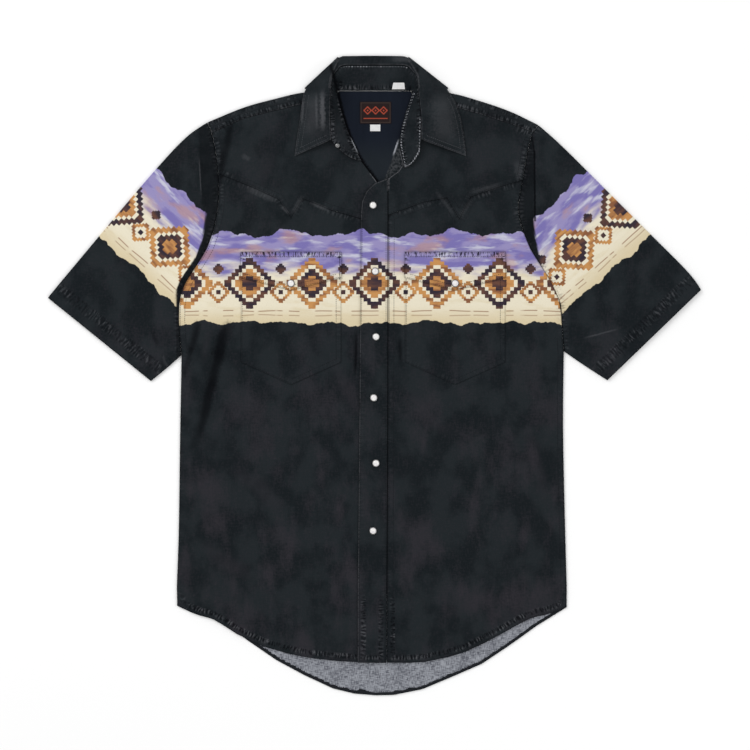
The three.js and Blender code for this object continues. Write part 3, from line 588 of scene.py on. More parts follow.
def wrong_side_material():
    """The cloth's wrong side: pale and dark threads that cross."""
    found = bpy.data.materials.get("twill_wrong_side")
    if found:
        return found
    material, board, shader = new_material("twill_wrong_side")
    tints = colours()
    x, y, _ = board.split(place_nodes(board))
    warp = board.noise(x / 0.9, y / 7.0, 2.0)
    weft = board.noise(x / 7.0, y / 0.9, 2.0)
    cloudy = board.noise(x / 22.0, y / 22.0, 3.0)
    crossed = board.smooth(warp * 0.5 + weft * 0.5 + (cloudy - 0.5) * 0.25, 0.36, 0.62)
    pale = board.mix(crossed, tints.wrong_dark, tints.wrong_side)
    turned = board.math("GREATER_THAN", board.attribute("turned"), 0.5)
    dark = board.mix(board.noise(x / 6.0, y / 6.0, 3.0) * 0.5, tints.black, tints.faded_and_highlight)
    board.plug(shader.inputs["Base Color"], board.mix(turned, pale, dark))
    cloth_feel(shader)
    bump(board, shader, warp + weft, 0.15 * MM)
    return material


def lining_material():
    """Plain, dark inner yoke."""
    material, board, shader = new_material("lining")
    tints = colours()
    place = place_nodes(board)
    x, y, _ = board.split(place)
    shade = board.noise(x / 30.0, y / 50.0, 3.0)
    weave = board.group(weave_group(), {"Place": place, "Pitch": 0.6})
    streaks = board.noise(x / 5.0, y / 60.0, 3.0)
    dark = tuple(c * 0.6 for c in tints.lining[:3]) + (1.0,)
    cloth = board.mix(shade * 0.6 + streaks * 0.4, dark, tints.lining)
    cloth = board.mix(board.smooth(y, 335.0, 290.0) * 0.6, cloth, tints.slate)
    # the stand's end is turned in here, so its twill shows beside the slanted fold
    turned_in = board.smooth(x - y * 0.382 + 90.5, 0.0, 1.0) * board.smooth(y, 336.0, 328.0)
    mottled = board.noise(x / 3.5, y / 3.5, 3.0)
    twill = board.mix(board.smooth(mottled, 0.3, 0.7) * 0.3, tints.black, tints.worn)
    cloth = board.mix(turned_in, cloth, twill)
    board.plug(shader.inputs["Base Color"], marked(board, "lining", place, cloth, tints.wrong_side))
    cloth_feel(shader)
    bump(board, shader, weave["Height"] * 0.4 + shade, 0.2 * MM)
    return material


# Reading the frame's solids


def merged(node):
    """A copy of a node's mesh, with its loose triangles joined up."""
    bm = bmesh.new()
    bm.from_mesh(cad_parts[node].data)
    bmesh.ops.remove_doubles(bm, verts=bm.verts[:], dist=1e-5)
    bm.normal_update()
    return bm


def rim_faces(bm):
    """The narrow faces round a wall's edge. From any other face the wall's far side is close."""
    tree = BVHTree.FromBMesh(bm)
    found = set()
    for face in bm.faces:
        start = face.calc_center_median() - face.normal * 1e-5
        if tree.ray_cast(start, -face.normal, THICKEST_WALL)[0] is None:
            found.add(face)
    return found


def chained(edges):
    """Closed rows of points from edges that meet end to end."""
    ways = {}
    for edge in edges:
        for vertex in edge.verts:
            ways.setdefault(vertex, []).append(edge)
    left = set(edges)
    loops = []
    while left:
        edge = left.pop()
        start, vertex = edge.verts
        loop = [start.co.copy()]
        while vertex is not start:
            loop.append(vertex.co.copy())
            onward = [e for e in ways[vertex] if e in left]
            if not onward:
                break
            left.discard(onward[0])
            vertex = onward[0].other_vert(vertex)
        loops.append(loop)
    return loops


def spaced(loop):
    """Evenly spaced points round a closed row of points, and its corners with their bends."""
    points, corners = [], []
    for i, here in enumerate(loop):
        onward = loop[(i + 1) % len(loop)] - here
        before = here - loop[i - 1]
        if onward.length > 0 and before.length > 0 and onward.angle(before) > SOFT_CORNER:
            corners.append((here, onward.angle(before)))
        count = max(1, round(onward.length / RIM_STEP))
        points += [here + onward * (k / count) for k in range(count)]
    return points, corners


class Rim:
    """The edges of a cloth wall, as rows of evenly spaced points."""

    def __init__(self, bm):
        narrow = rim_faces(bm)
        edges = [e for e in bm.edges if sum(f in narrow for f in e.link_faces) == 1]
        self.edges = edges
        self.loops, self.corners, self.tips, self.along = [], [], [], []
        for loop in chained(edges):
            points, corners = spaced(loop)
            self.loops.append(points)
            self.corners += [corner for corner, _ in corners]
            self.tips += [corner for corner, bend in corners if bend > SHARP_CORNER]
        self.tree = KDTree(sum(len(points) for points in self.loops))
        for points in self.loops:
            for i, point in enumerate(points):
                self.tree.insert(point, len(self.along))
                self.along.append(i * RIM_STEP)
        self.tree.balance()

    def near(self, point):
        """Nearest point of the rim, its distance, and how far round its loop it lies."""
        place, index, distance = self.tree.find(point)
        return place, distance, self.along[index]

    def run(self, start, end):
        """The rim from near one plan point to near another, on the highest loop, the shorter way."""

        def closest(points, target):
            gaps = [(p.x - target[0] * MM) ** 2 + (p.y - target[1] * MM) ** 2 for p in points]
            index = min(range(len(points)), key=gaps.__getitem__)
            return index, math.sqrt(gaps[index])

        best = None
        for points in self.loops:
            first, gap_first = closest(points, start)
            last, gap_last = closest(points, end)
            cost = gap_first + gap_last - points[first].z - points[last].z
            if best is None or cost < best[0]:
                best = (cost, points, first, last)
        _, points, first, last = best
        if first > last:
            first, last = last, first
        inside = points[first : last + 1]
        outside = points[last:] + points[: first + 1]
        return inside if len(inside) <= len(outside) else outside


# The lie of the cloth, in millimetres, shared by all that lies on the fronts

# Soft creases of the front: ends, width and height
CREASES = [
    (-25, 70, -27, -8, 4.0, -0.9),
    (35, 58, 36, 12, 4.5, -0.8),
    (-241, 72, -262, 2, 6.0, -1.1),
    (-205, 72, -218, 10, 7.0, -1.2),
    (-217, 20, -246, -105, 7.0, -1.2),
    (-228, 66, -238, 10, 8.0, 0.9),
    (-196, 352, -212, 270, 6.0, -0.9),
    (-180, 210, -150, 150, 10.0, 0.9),
    (170, 205, 150, 160, 9.0, 0.8),
    (-60, 30, -20, -60, 12.0, 0.9),
    (40, -20, 110, -90, 13.0, 0.9),
    (-200, -120, -120, -190, 14.0, 1.0),
    (-250, -230, -160, -280, 13.0, 1.0),
    (90, -330, 180, -300, 12.0, 0.9),
    (210, -60, 240, -190, 11.0, 1.0),
    (-70, -330, -30, -250, 10.0, 0.8),
    (-170, 250, -120, 330, 14.0, 0.8),
    (150, 260, 110, 330, 13.0, 0.8),
]


def crease(x, y, row):
    """Height of one soft crease at a point."""
    x1, y1, x2, y2, width, height = row
    run = math.hypot(x2 - x1, y2 - y1)
    t = ((x - x1) * (x2 - x1) + (y - y1) * (y2 - y1)) / run
    off = ((x - x1) * (y2 - y1) - (y - y1) * (x2 - x1)) / run
    past = max(0.0, -t, t - run)
    if abs(off) > 3 * width or past > 4 * width:
        return 0.0
    wander = width * 0.5 * noise.noise(Vector((t / 35.0, x1, y1)))
    ends = math.sin(math.pi * min(max(t / run, 0.02), 0.98)) ** 0.5
    return height * ends * math.exp(-(((off + wander) / width) ** 2) - (past / (2 * width)) ** 2)


def smoothstep(low, high, value):
    t = min(max((value - low) / (high - low), 0.0), 1.0)
    return t * t * (3 - 2 * t)


def calm(x, y):
    """Less relief at the side seams and under the collar."""
    side = max(smoothstep(0.0, 45.0, 268.0 - abs(x)), smoothstep(10.0, 70.0, y))
    neck = max(smoothstep(118.0, 160.0, abs(x - 8.0)), smoothstep(290.0, 262.0, y))
    return side * neck


def folds(x, y):
    """Height that the soft creases add at a point."""
    return sum(crease(x, y, row) for row in CREASES) * calm(x, y)


def relief(x, y):
    """How far the upper layers stand above their solids, without their creases."""
    broad = noise.noise(Vector((x / 62.0, y / 80.0, 1.7)))
    fine = noise.noise(Vector((x / 21.0, y / 27.0, 4.1)))
    return (0.75 + 0.75 * broad + 0.35 * fine) * calm(x, y)


def pucker(along, edge, size, reach, pitch):
    """Uneven ripples that a seam draws up."""
    place = Vector((along / pitch, edge / 22.0, size * 9.0))
    ripple = noise.noise(place) + 0.5 * noise.noise(place * 2.1)
    loose = 0.6 + 0.8 * noise.noise(Vector((along / 60.0, 2.0, 3.0)))
    return size * ripple * max(loose, 0.0) * math.exp(-edge / reach)


# What a material reads from a piece: shares from 0 to 1, and the hem's width in millimetres
PAINTED = ("printed", "wear", "rub", "groove", "hem")


def shape_cloth(bm, rim, look, lift):
    """Adds relief, seam dips and ripples to a sheet, and notes them for its material."""
    layers = {name: bm.verts.layers.float.new(name) for name in ("edge", "along", "fold", *PAINTED)}
    for vertex in bm.verts:
        _, edge, along = rim.near(vertex.co)
        edge, along = edge / MM, along / MM
        x, y = vertex.co.x / MM, vertex.co.y / MM
        ripple = pucker(along, edge, look["pucker"], look["reach"], look["pitch"])
        dip = -look["dip"] * math.exp(-((edge / 2.4) ** 2))
        fold = folds(x, y) * look["relief"]
        share = lift(vertex.co)
        vertex.co.z += (relief(x, y) * look["relief"] + fold + ripple + dip) * share * MM
        vertex[layers["edge"]] = edge
        vertex[layers["along"]] = along
        vertex[layers["fold"]] = min(max(fold, -1.0), 1.0)
        for name in PAINTED:
            value = look[name]
            vertex[layers[name]] = value(x, y) if callable(value) else value


def cloth_look(**changes):
    look = {"pucker": 0.3, "reach": 6.0, "pitch": 7.0, "dip": 0.45, "relief": 1.0}
    look |= {"printed": 1.0, "wear": 0.5, "rub": 0.0, "groove": 0.5, "hem": 0.0}
    return look | changes


# Making the pieces

SURFACES = {}
RIMS = {}


def upper_tree(bm):
    """A search tree of the faces that look up."""
    narrow = rim_faces(bm)
    faces = [f for f in bm.faces if f.normal.z > 0.2 and f not in narrow]
    places = [v.co.copy() for v in bm.verts]
    bm.verts.index_update()
    return BVHTree.FromPolygons(places, [[v.index for v in f.verts] for f in faces])


def trim_grid(sheet, top, rim, cell):
    """Drops the grid to the surface and cuts it to the rim."""
    outside = []
    for vertex in sheet.verts:
        hit = top.ray_cast(Vector((vertex.co.x, vertex.co.y, ABOVE)), DOWN)[0]
        if hit is None:
            outside.append(vertex)
            continue
        vertex.co = hit
        if rim.near(hit)[1] < 0.4 * cell:
            outside.append(vertex)
    bmesh.ops.delete(sheet, geom=outside, context="VERTS")
    spikes = [f for f in sheet.faces if sum(e.is_boundary for e in f.edges) > 2]
    bmesh.ops.delete(sheet, geom=spikes, context="FACES")
    loose = [v for v in sheet.verts if not v.link_faces]
    bmesh.ops.delete(sheet, geom=loose, context="VERTS")


def snap_to_rim(sheet, rim, cell):
    """Moves the grid's border onto the rim, corners first."""
    border = [v for v in sheet.verts if v.is_boundary]
    taken = set()
    tree = KDTree(len(border))
    for i, vertex in enumerate(border):
        tree.insert(vertex.co, i)
    tree.balance()
    for corner in rim.corners:
        _, index, distance = tree.find(corner)
        if distance < 5 * cell and index not in taken:
            taken.add(index)
            border[index].co = corner
    for i, vertex in enumerate(border):
        if i not in taken:
            vertex.co = rim.near(vertex.co)[0]
    bmesh.ops.remove_doubles(sheet, verts=border, dist=0.15 * MM)


def laid_sheet(node, cell, look):
    """A fine even grid cut to a node's outline, at the height of its upper face."""
    source = merged(node)
    rim = Rim(source)
    rim.corners = [c for c in rim.corners if c.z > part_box(node)[0].z + 0.4 * MM]
    top = upper_tree(source)
    low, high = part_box(node)
    size = high - low
    middle = (low + high) / 2
    sheet = bmesh.new()
    bmesh.ops.create_grid(
        sheet,
        x_segments=max(2, round(size.x / cell)),
        y_segments=max(2, round(size.y / cell)),
        size=0.5,
        matrix=Matrix.LocRotScale(middle, None, Vector((size.x, size.y, 1.0))),
    )
    trim_grid(sheet, top, rim, cell)
    snap_to_rim(sheet, rim, cell)
    inner = [v for v in sheet.verts if not v.is_boundary]
    for _ in range(4):
        bmesh.ops.smooth_vert(sheet, verts=inner, factor=0.5, use_axis_z=True)
    shape_cloth(sheet, rim, look, lambda place: 1.0)
    source.free()
    RIMS[node] = rim
    SURFACES[node] = BVHTree.FromBMesh(sheet)
    return sheet


def thicken(sheet, thickness, second_material=0):
    """Gives a sheet its thickness downwards. The lower wall takes the second material."""
    made = bmesh.ops.solidify(sheet, geom=sheet.faces[:], thickness=thickness)["geom"]
    for face in made:
        if isinstance(face, bmesh.types.BMFace) and face.normal.z < -0.5:
            face.material_index = second_material
    sheet.normal_update()
    for face in sheet.faces:
        if face.normal.z < -0.5:
            face.material_index = second_material


def formed_sheet(node, levels, look, lift):
    """A node's own wall, made finer and rounder, with its rim kept."""
    source = merged(node)
    crease_layer = source.edges.layers.float.new("crease_edge")
    tip_layer = source.verts.layers.float.new("crease_vert")
    rim = Rim(source)
    for edge in rim.edges:
        edge[crease_layer] = 1.0
        for vertex in edge.verts:
            if any((vertex.co - tip).length < 0.01 * MM for tip in rim.tips):
                vertex[tip_layer] = 1.0
    limits = {"angle_face_threshold": math.radians(50), "angle_shape_threshold": math.radians(70)}
    bmesh.ops.join_triangles(source, faces=source.faces[:], **limits)
    coarse = bpy.data.meshes.new(node + "_coarse")
    source.to_mesh(coarse)
    source.free()
    holder = bpy.data.objects.new(node + "_coarse", coarse)
    bpy.context.scene.collection.objects.link(holder)
    finer = holder.modifiers.new("finer", "SUBSURF")
    finer.levels = levels
    finer.render_levels = levels
    made = bpy.data.meshes.new_from_object(holder.evaluated_get(bpy.context.evaluated_depsgraph_get()))
    bm = bmesh.new()
    bm.from_mesh(made)
    bpy.data.objects.remove(holder)
    bpy.data.meshes.remove(coarse)
    bpy.data.meshes.remove(made)
    shape_cloth(bm, rim, look, lift)
    RIMS[node] = rim
    SURFACES[node] = BVHTree.FromBMesh(bm)
    return bm


def finish_piece(bm, name, materials, replaces, sharp=50):
    """Makes the object of a piece, at the origin, and ties it to the frame."""
    bmesh.ops.dissolve_degenerate(bm, edges=bm.edges[:], dist=1e-6)
    mesh = bpy.data.meshes.new(name)
    bm.to_mesh(mesh)
    bm.free()
    for material in materials:
        mesh.materials.append(material)
    mesh.shade_smooth()
    mesh.set_sharp_from_angle(angle=math.radians(sharp))
    piece = bpy.data.objects.new(name, mesh)
    bpy.context.scene.collection.objects.link(piece)
    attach(piece, "root")
    if replaces:
        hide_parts(*replaces)
    return piece


def declare_sheet(piece, width, length_, held, rests_on, area=None):
    """Works out the cut of a cloth piece in metres from millimetres, and keeps it nowhere."""
    flat = (width * MM, length_ * MM)


FRONT_HEM_WIDTH = 10.0
SLEEVE_HEM_WIDTH = 27.0


def front_wear(_x, y):
    """Ropes, worn light with painted shade between, are strong at the hem, fair at the armhole and faint
    down the sides.
    """
    return 0.08 + 0.22 * smoothstep(150, 250, y) + 0.75 * smoothstep(-290, -325, y)


def hem_wear(_x, y):
    return 0.08 + 0.6 * smoothstep(-290, -325, y)


def front_hem(_x, y):
    return FRONT_HEM_WIDTH if y < -300 else 0.0


def neck_rub(x, y):
    """The neck edge is rubbed where the left front laps over."""
    return 0.8 if -6 < x < 66 and 255 < y < 312 else 0.0


def band_rub(x, y):
    """The free edge of the front band is rubbed, and its seam isn't."""
    return max(0.6 if x < 0 else 0.0, neck_rub(x, y))


def armhole_wear(x, _y):
    """A front yoke has ropes along the armhole, and hardly any along its pointed seam."""
    return 0.08 + 0.35 * smoothstep(188, 202, abs(x))


def flap_wear(_x, y):
    return 0.9 if y > 158 else 0.15


def shoulder_rub(x, y):
    """The back yoke is rubbed at its forward seams, and faintly below the collar."""
    return 0.45 if abs(x) > 66 else 0.25 * smoothstep(384, 390, y)


def stand_wear(_x, y):
    """The stand is drawn up at its base and mottled at its ends."""
    return 0.2 + 0.6 * smoothstep(414, 404, y)


def stand_rub(x, y):
    """Both lower ends of the stand are rubbed along their outer edges."""
    left_end = x < -20 and y < 340
    right_end = x > 46 or y < 293
    return 0.6 if y < 340 and (left_end or right_end) else 0.0


# The panels laid on the back: mesh cell, wall, ripples and their reach, seam dip, and the cut
# of what shows as width, length and area in square metres
LAID_COLUMNS = ("node", "cell", "wall", "pucker", "reach", "dip", "cut", "area", "rests")
LAID = [
    ("front_right", "body_cell", 1.2, 0.3, 8, 0.5, (290, 676), 0.170, "back"),
    ("front_left", "body_cell", 1.2, 0.3, 8, 0.5, (250, 666), 0.143, "back"),
    ("front_yoke_right", "trim_cell", 1.2, 0.35, 7, 0.5, (240, 177), 0.0262, "back_yoke"),
    ("front_yoke_left", "trim_cell", 1.2, 0.35, 7, 0.5, (200, 168), 0.0216, "back_yoke"),
    ("placket", "trim_cell", 2.0, 0.16, 9, 0.45, (42, 668), 0.0268, "front_right"),
    ("pocket_right", "trim_cell", 1.2, 0.25, 7, 0.5, (139, 179), 0.0229, "front_right"),
    ("pocket_left", "trim_cell", 1.2, 0.25, 7, 0.5, (139, 179), 0.0229, "front_left"),
    ("flap_right", "trim_cell", 1.0, 0.25, 6, 0.4, (140, 54), 0.0062, "pocket_right"),
    ("flap_left", "trim_cell", 1.0, 0.25, 6, 0.4, (140, 54), 0.0062, "pocket_left"),
]
# Wear and painted shade of those panels, by their names without the side
LAID_WEAR_AND_SHADE = {
    "front": {"wear": front_wear, "hem": front_hem, "groove": 0.45},
    "front_yoke": {"wear": armhole_wear, "groove": 0.12, "rub": neck_rub},
    "placket": {"wear": hem_wear, "rub": band_rub, "hem": front_hem, "groove": 0.6},
    "pocket": {"wear": 0.08, "groove": 0.3},
    "flap": {"wear": flap_wear, "groove": 0.55},
}


def make_laid(row):
    """One laid panel from its table row."""
    row = dict(zip(LAID_COLUMNS, row))
    node = row["node"]
    look = cloth_look(**{name: row[name] for name in ("pucker", "reach", "dip")})
    look |= LAID_WEAR_AND_SHADE[node.removesuffix("_right").removesuffix("_left")]
    sheet = laid_sheet(node, getattr(sizes(), row["cell"]), look)
    thicken(sheet, row["wall"] * MM, 1)
    materials = [twill_material("twill_body"), wrong_side_material()]
    piece = finish_piece(sheet, node + "_cloth", materials, [node])
    declare_sheet(piece, *row["cut"], "laid", [row["rests"]], row["area"])


class SHIRT_OT_back(bpy.types.Operator):
    """Back panel, back yoke and the lining in the neck"""

    bl_idname = "shirt.back"
    bl_label = "Back and yoke"

    def execute(self, context):
        look = cloth_look(relief=0.0, pucker=0.0, dip=0.0)
        sheet = laid_sheet("back", sizes().tail_cell, look)
        turned = sheet.verts.layers.float.new("turned")
        edge = sheet.verts.layers.float["edge"]
        tail_hem = sizes().tail_hem / MM
        for vertex in sheet.verts:
            shown = smoothstep(-290.0, -310.0, vertex.co.y / MM)
            hem = smoothstep(tail_hem + 1.6, tail_hem - 1.6, vertex[edge]) * shown
            vertex[turned] = max(hem, 1.0 - shown)
            vertex.co.z += 0.25 * MM * hem
        made = bmesh.ops.solidify(sheet, geom=sheet.faces[:], thickness=1.2 * MM)["geom"]
        for item in made:
            if isinstance(item, bmesh.types.BMVert):
                item.co.z = 0.0
        sheet.normal_update()
        for face in sheet.faces:
            face.material_index = 1 if face.normal.z > 0.5 else 0
        materials = [twill_material("twill_body"), wrong_side_material()]
        piece = finish_piece(sheet, "back_cloth", materials, ["back"])
        declare_sheet(piece, 540, 668, "laid", [], 0.32)
        look = cloth_look(relief=0.0, pucker=0.45, pitch=6.0, reach=9.0)
        look |= {"wear": 0.7, "rub": shoulder_rub, "groove": 0.25}
        yoke = formed_sheet("back_yoke", 2, look, upper_only)
        piece = finish_piece(yoke, "back_yoke_cloth", [twill_material("twill_body")], ["back_yoke"])
        declare_sheet(piece, 456, 200, "folded", ["back"], 0.0706)
        look = cloth_look(relief=0.0, pucker=0.05, dip=0.0)
        lining = laid_sheet("yoke_lining", sizes().tail_cell, look)
        thicken(lining, 1.0 * MM)
        piece = finish_piece(lining, "yoke_lining_cloth", [lining_material()], ["yoke_lining"])
        declare_sheet(piece, 424, 159, "laid", ["back_yoke"], 0.0603)
        return {"FINISHED"}


def upper_only(place):
    """Relief goes to a folded piece's upper layer alone."""
    return smoothstep(1.6, 2.8, place.z / MM)


class SHIRT_OT_fronts(bpy.types.Operator):
    """Fronts, front yokes, the snap band, pockets and flaps"""

    bl_idname = "shirt.fronts"
    bl_label = "Fronts and pockets"

    def execute(self, context):
        for row in LAID:
            make_laid(row)
        return {"FINISHED"}


# Where the print of a sleeve ends at its pleat: points from top to bottom
PLEATS = {
    "right": [(-242, 306), (-239, 242), (-232, 224), (-237, 188), (-246, 164), (-268, 131), (-273, 118)],
    "left": [(220, 309), (220, 217), (221, 196), (228, 157), (241, 127), (257, 100), (260, 70)],
}
# Where the band of a sleeve runs: a point on its middle and its angle
SLEEVE_BANDS = {"right": ((-341.5, 240.7), -41.8), "left": ((334.6, 236.6), 41.8)}


def pleat_x(side, y):
    """Plan X of a sleeve's pleat at a height."""
    points = PLEATS[side]
    if y >= points[0][1]:
        return points[0][0]
    for (x1, y1), (x2, y2) in zip(points, points[1:]):
        if y >= y2:
            return x1 + (x2 - x1) * (y1 - y) / (y1 - y2)
    return points[-1][0]


def sleeve_print(side):
    """Share of a sleeve's cloth that shows the band: none between pleat and armhole."""
    sign = -1 if side == "right" else 1

    def printed(x, y):
        return smoothstep(-0.8, 0.8, sign * (x - pleat_x(side, y)))

    return printed


# The hems of the sleeves, from the outer fold to the underarm
SLEEVE_HEMS = {"right": ((-450, 108), (-308, -7)), "left": ((450, 119), (321, -6))}


def sleeve_hem(side):
    """Width of a sleeve's hem near its opening, and 0 elsewhere."""
    (x1, y1), (x2, y2) = SLEEVE_HEMS[side]
    run = math.hypot(x2 - x1, y2 - y1)

    def hem(x, y):
        off = abs((x - x1) * (y2 - y1) - (y - y1) * (x2 - x1)) / run
        return SLEEVE_HEM_WIDTH if off < 1.5 * SLEEVE_HEM_WIDTH else 0.0

    return hem


class SHIRT_OT_sleeves(bpy.types.Operator):
    """Short sleeves"""

    bl_idname = "shirt.sleeves"
    bl_label = "Sleeves"

    def execute(self, context):
        for side, (centre, angle) in SLEEVE_BANDS.items():
            node = "sleeve_" + side
            look = cloth_look(pucker=0.35, reach=9, wear=0.45)
            look |= {"printed": sleeve_print(side), "hem": sleeve_hem(side)}
            cloth = formed_sheet(node, 2, look, upper_only)
            mark_inside(cloth, 1)
            turned = cloth.verts.layers.float.new("turned")
            edge = cloth.verts.layers.float["edge"]
            for vertex in cloth.verts:
                vertex[turned] = 1.0 if vertex[edge] < SLEEVE_HEM_WIDTH else 0.0
            outer = twill_material("twill_" + node, math.radians(angle), centre)
            piece = finish_piece(cloth, node + "_cloth", [outer, wrong_side_material()], [node])
            declare_sheet(piece, 480, 260, "folded", ["back"], 0.088)
        return {"FINISHED"}


def mark_inside(bm, material_index):
    """Faces that look at their own piece close by are its inside."""
    tree = BVHTree.FromBMesh(bm)
    for face in bm.faces:
        start = face.calc_center_median() + face.normal * 0.05 * MM
        if tree.ray_cast(start, face.normal, 14 * MM)[0] is not None:
            face.material_index = material_index


class SHIRT_OT_collar(bpy.types.Operator):
    """Collar stand and collar leaf"""

    bl_idname = "shirt.collar"
    bl_label = "Collar"

    def execute(self, context):
        look = cloth_look(relief=0.0, pucker=0.35, reach=7, dip=0.3, groove=0.3)
        look |= {"wear": stand_wear, "rub": stand_rub}
        stand = formed_sheet("collar_stand", 2, look, upper_only)
        twill = twill_material("twill_collar")
        piece = finish_piece(stand, "collar_stand_cloth", [twill], ["collar_stand"])
        declare_sheet(piece, 340, 36, "folded", ["yoke_lining"], 0.0101)
        look |= {"wear": 0.12, "rub": 0.5}
        leaf = formed_sheet("collar_leaf", 2, look, upper_only)
        piece = finish_piece(leaf, "collar_leaf_cloth", [twill], ["collar_leaf"])
        declare_sheet(piece, 420, 60, "folded", ["front_yoke_right", "front_yoke_left"], 0.0202)
        return {"FINISHED"}


# Rows of stitches: the node whose rim they follow, from where to where in plan, how far in
# from the rim, and the thread
SEAM_ROWS = [
    ("front_right", (-270, -317), (16, -395), 10.0, "thread"),
    ("front_left", (265, -319), (18, -395), 10.0, "thread"),
    ("placket", (-23, -395), (17, -395), 10.0, "thread"),
    ("placket", (17, -393), (18.6, 240), 2.4, "thread"),
    ("placket", (-23, -393), (0, 264), 1.8, "thread"),
    ("front_right", (-266, 29), (-215, 270), 1.8, "thread"),
    ("front_right", (-266, 29), (-215, 270), 8.0, "thread"),
    ("front_left", (261, 34), (204, 264), 1.8, "thread"),
    ("front_left", (261, 34), (204, 264), 8.0, "thread"),
    ("front_yoke_right", (-215, 279), (-224, 332), 1.8, "thread"),
    ("front_yoke_right", (-215, 279), (-224, 332), 8.0, "thread"),
    ("front_yoke_left", (204, 270), (218, 334), 1.8, "thread"),
    ("front_yoke_left", (204, 270), (218, 334), 8.0, "thread"),
    ("front_yoke_right", (-213, 278), (14, 208), 1.8, "thread"),
    ("front_yoke_right", (-213, 278), (14, 208), 6.8, "thread"),
    ("front_yoke_left", (202, 269), (20, 222), 1.8, "thread"),
    ("front_yoke_left", (202, 269), (20, 222), 6.8, "thread"),
    ("back_yoke", (-224, 336), (-51, 384), 1.8, "thread"),
    ("back_yoke", (-224, 336), (-51, 384), 7.0, "thread"),
    ("back_yoke", (218, 337), (51, 384), 1.8, "thread"),
    ("back_yoke", (218, 337), (51, 384), 7.0, "thread"),
    ("sleeve_right", (-450, 108), (-308, -7), 26.0, "thread"),
    ("sleeve_left", (450, 119), (321, -6), 26.0, "thread"),
    ("collar_leaf", (-110, 303), (-97, 388), 2.0, "grey_thread"),
    ("collar_leaf", (-110, 303), (-97, 388), 7.0, "grey_thread"),
    ("collar_leaf", (126, 303), (104, 388), 2.0, "grey_thread"),
    ("collar_leaf", (126, 303), (104, 388), 7.0, "grey_thread"),
    ("collar_leaf", (-110, 303), (-60, 323), 2.0, "grey_thread"),
    ("collar_leaf", (-110, 303), (-60, 323), 7.0, "grey_thread"),
    ("collar_leaf", (126, 303), (65, 323), 2.0, "grey_thread"),
    ("collar_leaf", (126, 303), (65, 323), 7.0, "grey_thread"),
    ("collar_stand", (-50, 428), (50, 428), 1.8, "pale_thread"),
    ("collar_stand", (64, 325), (60, 400), 1.8, "pale_thread"),
    ("collar_stand", (-60, 325), (-59, 400), 1.8, "thread"),
    ("back", (-190, -361), (190, -369), 5.0, "thread"),
]


def trim_rows():
    """Rows of stitches of the pockets and flaps: single down a pocket, double round a flap."""
    rows = []
    for side, middle in (("right", -115), ("left", 111)):
        pocket, flap = "pocket_" + side, "flap_" + side
        for way, inset in ((-1, 1.8), (1, 6.8)):
            edge = middle + way * 69
            rows.append((pocket, (edge, 166), (edge, 20), inset, "thread"))
            rows.append((pocket, (edge, 20), (middle, -12), inset, "thread"))
        for inset in (1.8, 6.8):
            for way in (-1, 1):
                rows.append((flap, (middle + way * 69, 135), (middle, 117.5), inset, "thread"))
            rows.append((flap, (middle - 69, 171), (middle + 69, 171), inset, "thread"))
    return rows


def inset_row(node, start, end, inset, thread):
    """Places of the stitches of one row on its piece's surface."""
    rim, surface = RIMS[node], SURFACES[node]
    points = rim.run(start, end)
    long, gap, loose = stitch_sizes(thread)
    step = max(1, round((long + gap) / RIM_STEP))
    places = []
    for i in range(4, len(points) - 4, step):
        ahead = points[i + 4] - points[i - 4]
        side = Vector((-ahead.y, ahead.x, 0.0)).normalized() * inset * MM
        for way in (side, -side):
            target = points[i] + way
            hit, normal, _, _ = surface.ray_cast(Vector((target.x, target.y, ABOVE)), DOWN)
            if hit is not None and rim.near(hit)[1] > (inset - 0.4) * MM:
                uneven = 1.0 + loose * noise.noise(hit / (4 * MM))
                places.append((hit, normal, ahead.normalized(), uneven))
                break
    return places


def stitch_sizes(thread):
    """Length of a stitch, the gap after it, and how uneven the stitches are."""
    if thread == "pale_thread":
        return sizes().bold_stitch, sizes().bold_gap, 0.9
    return sizes().stitch, sizes().stitch_gap, 0.0


def one_stitch():
    """A plump stitch along X, a unit long, with its points and faces."""
    bm = bmesh.new()
    turn = Matrix.Rotation(math.radians(90), 4, "Y")
    bmesh.ops.create_uvsphere(bm, u_segments=6, v_segments=3, radius=0.5, matrix=turn)
    bm.verts.index_update()
    points = [v.co.copy() for v in bm.verts]
    faces = [[v.index for v in f.verts] for f in bm.faces]
    bm.free()
    return points, faces


def stitches(places, thread):
    """One mesh of many stitches."""
    points, faces = one_stitch()
    vertices, polygons = [], []
    for hit, normal, ahead, uneven in places:
        long, thick = stitch_sizes(thread)[0] * uneven, getattr(sizes(), thread) * uneven
        along = (ahead - normal * ahead.dot(normal)).normalized()
        across = normal.cross(along)
        first = len(vertices)
        for p in points:
            vertices.append(hit + along * p.x * long + across * p.y * thick + normal * p.z * thick * 0.7)
        polygons += [[first + i for i in face] for face in faces]
    mesh = bpy.data.meshes.new("stitches")
    mesh.from_pydata(vertices, [], polygons)
    bm = bmesh.new()
    bm.from_mesh(mesh)
    bpy.data.meshes.remove(mesh)
    bmesh.ops.recalc_face_normals(bm, faces=bm.faces[:])
    return bm


def thread_material(name, tint):
    material, board, shader = new_material(name)
    x, y, _ = board.split(place_nodes(board))
    shade = board.noise(x / 3.0, y / 3.0, 2.0)
    dark = tuple(c * 0.6 for c in tint[:3]) + (1.0,)
    board.plug(shader.inputs["Base Color"], board.mix(shade, dark, tint))
    cloth_feel(shader, roughness=0.75)
    return material


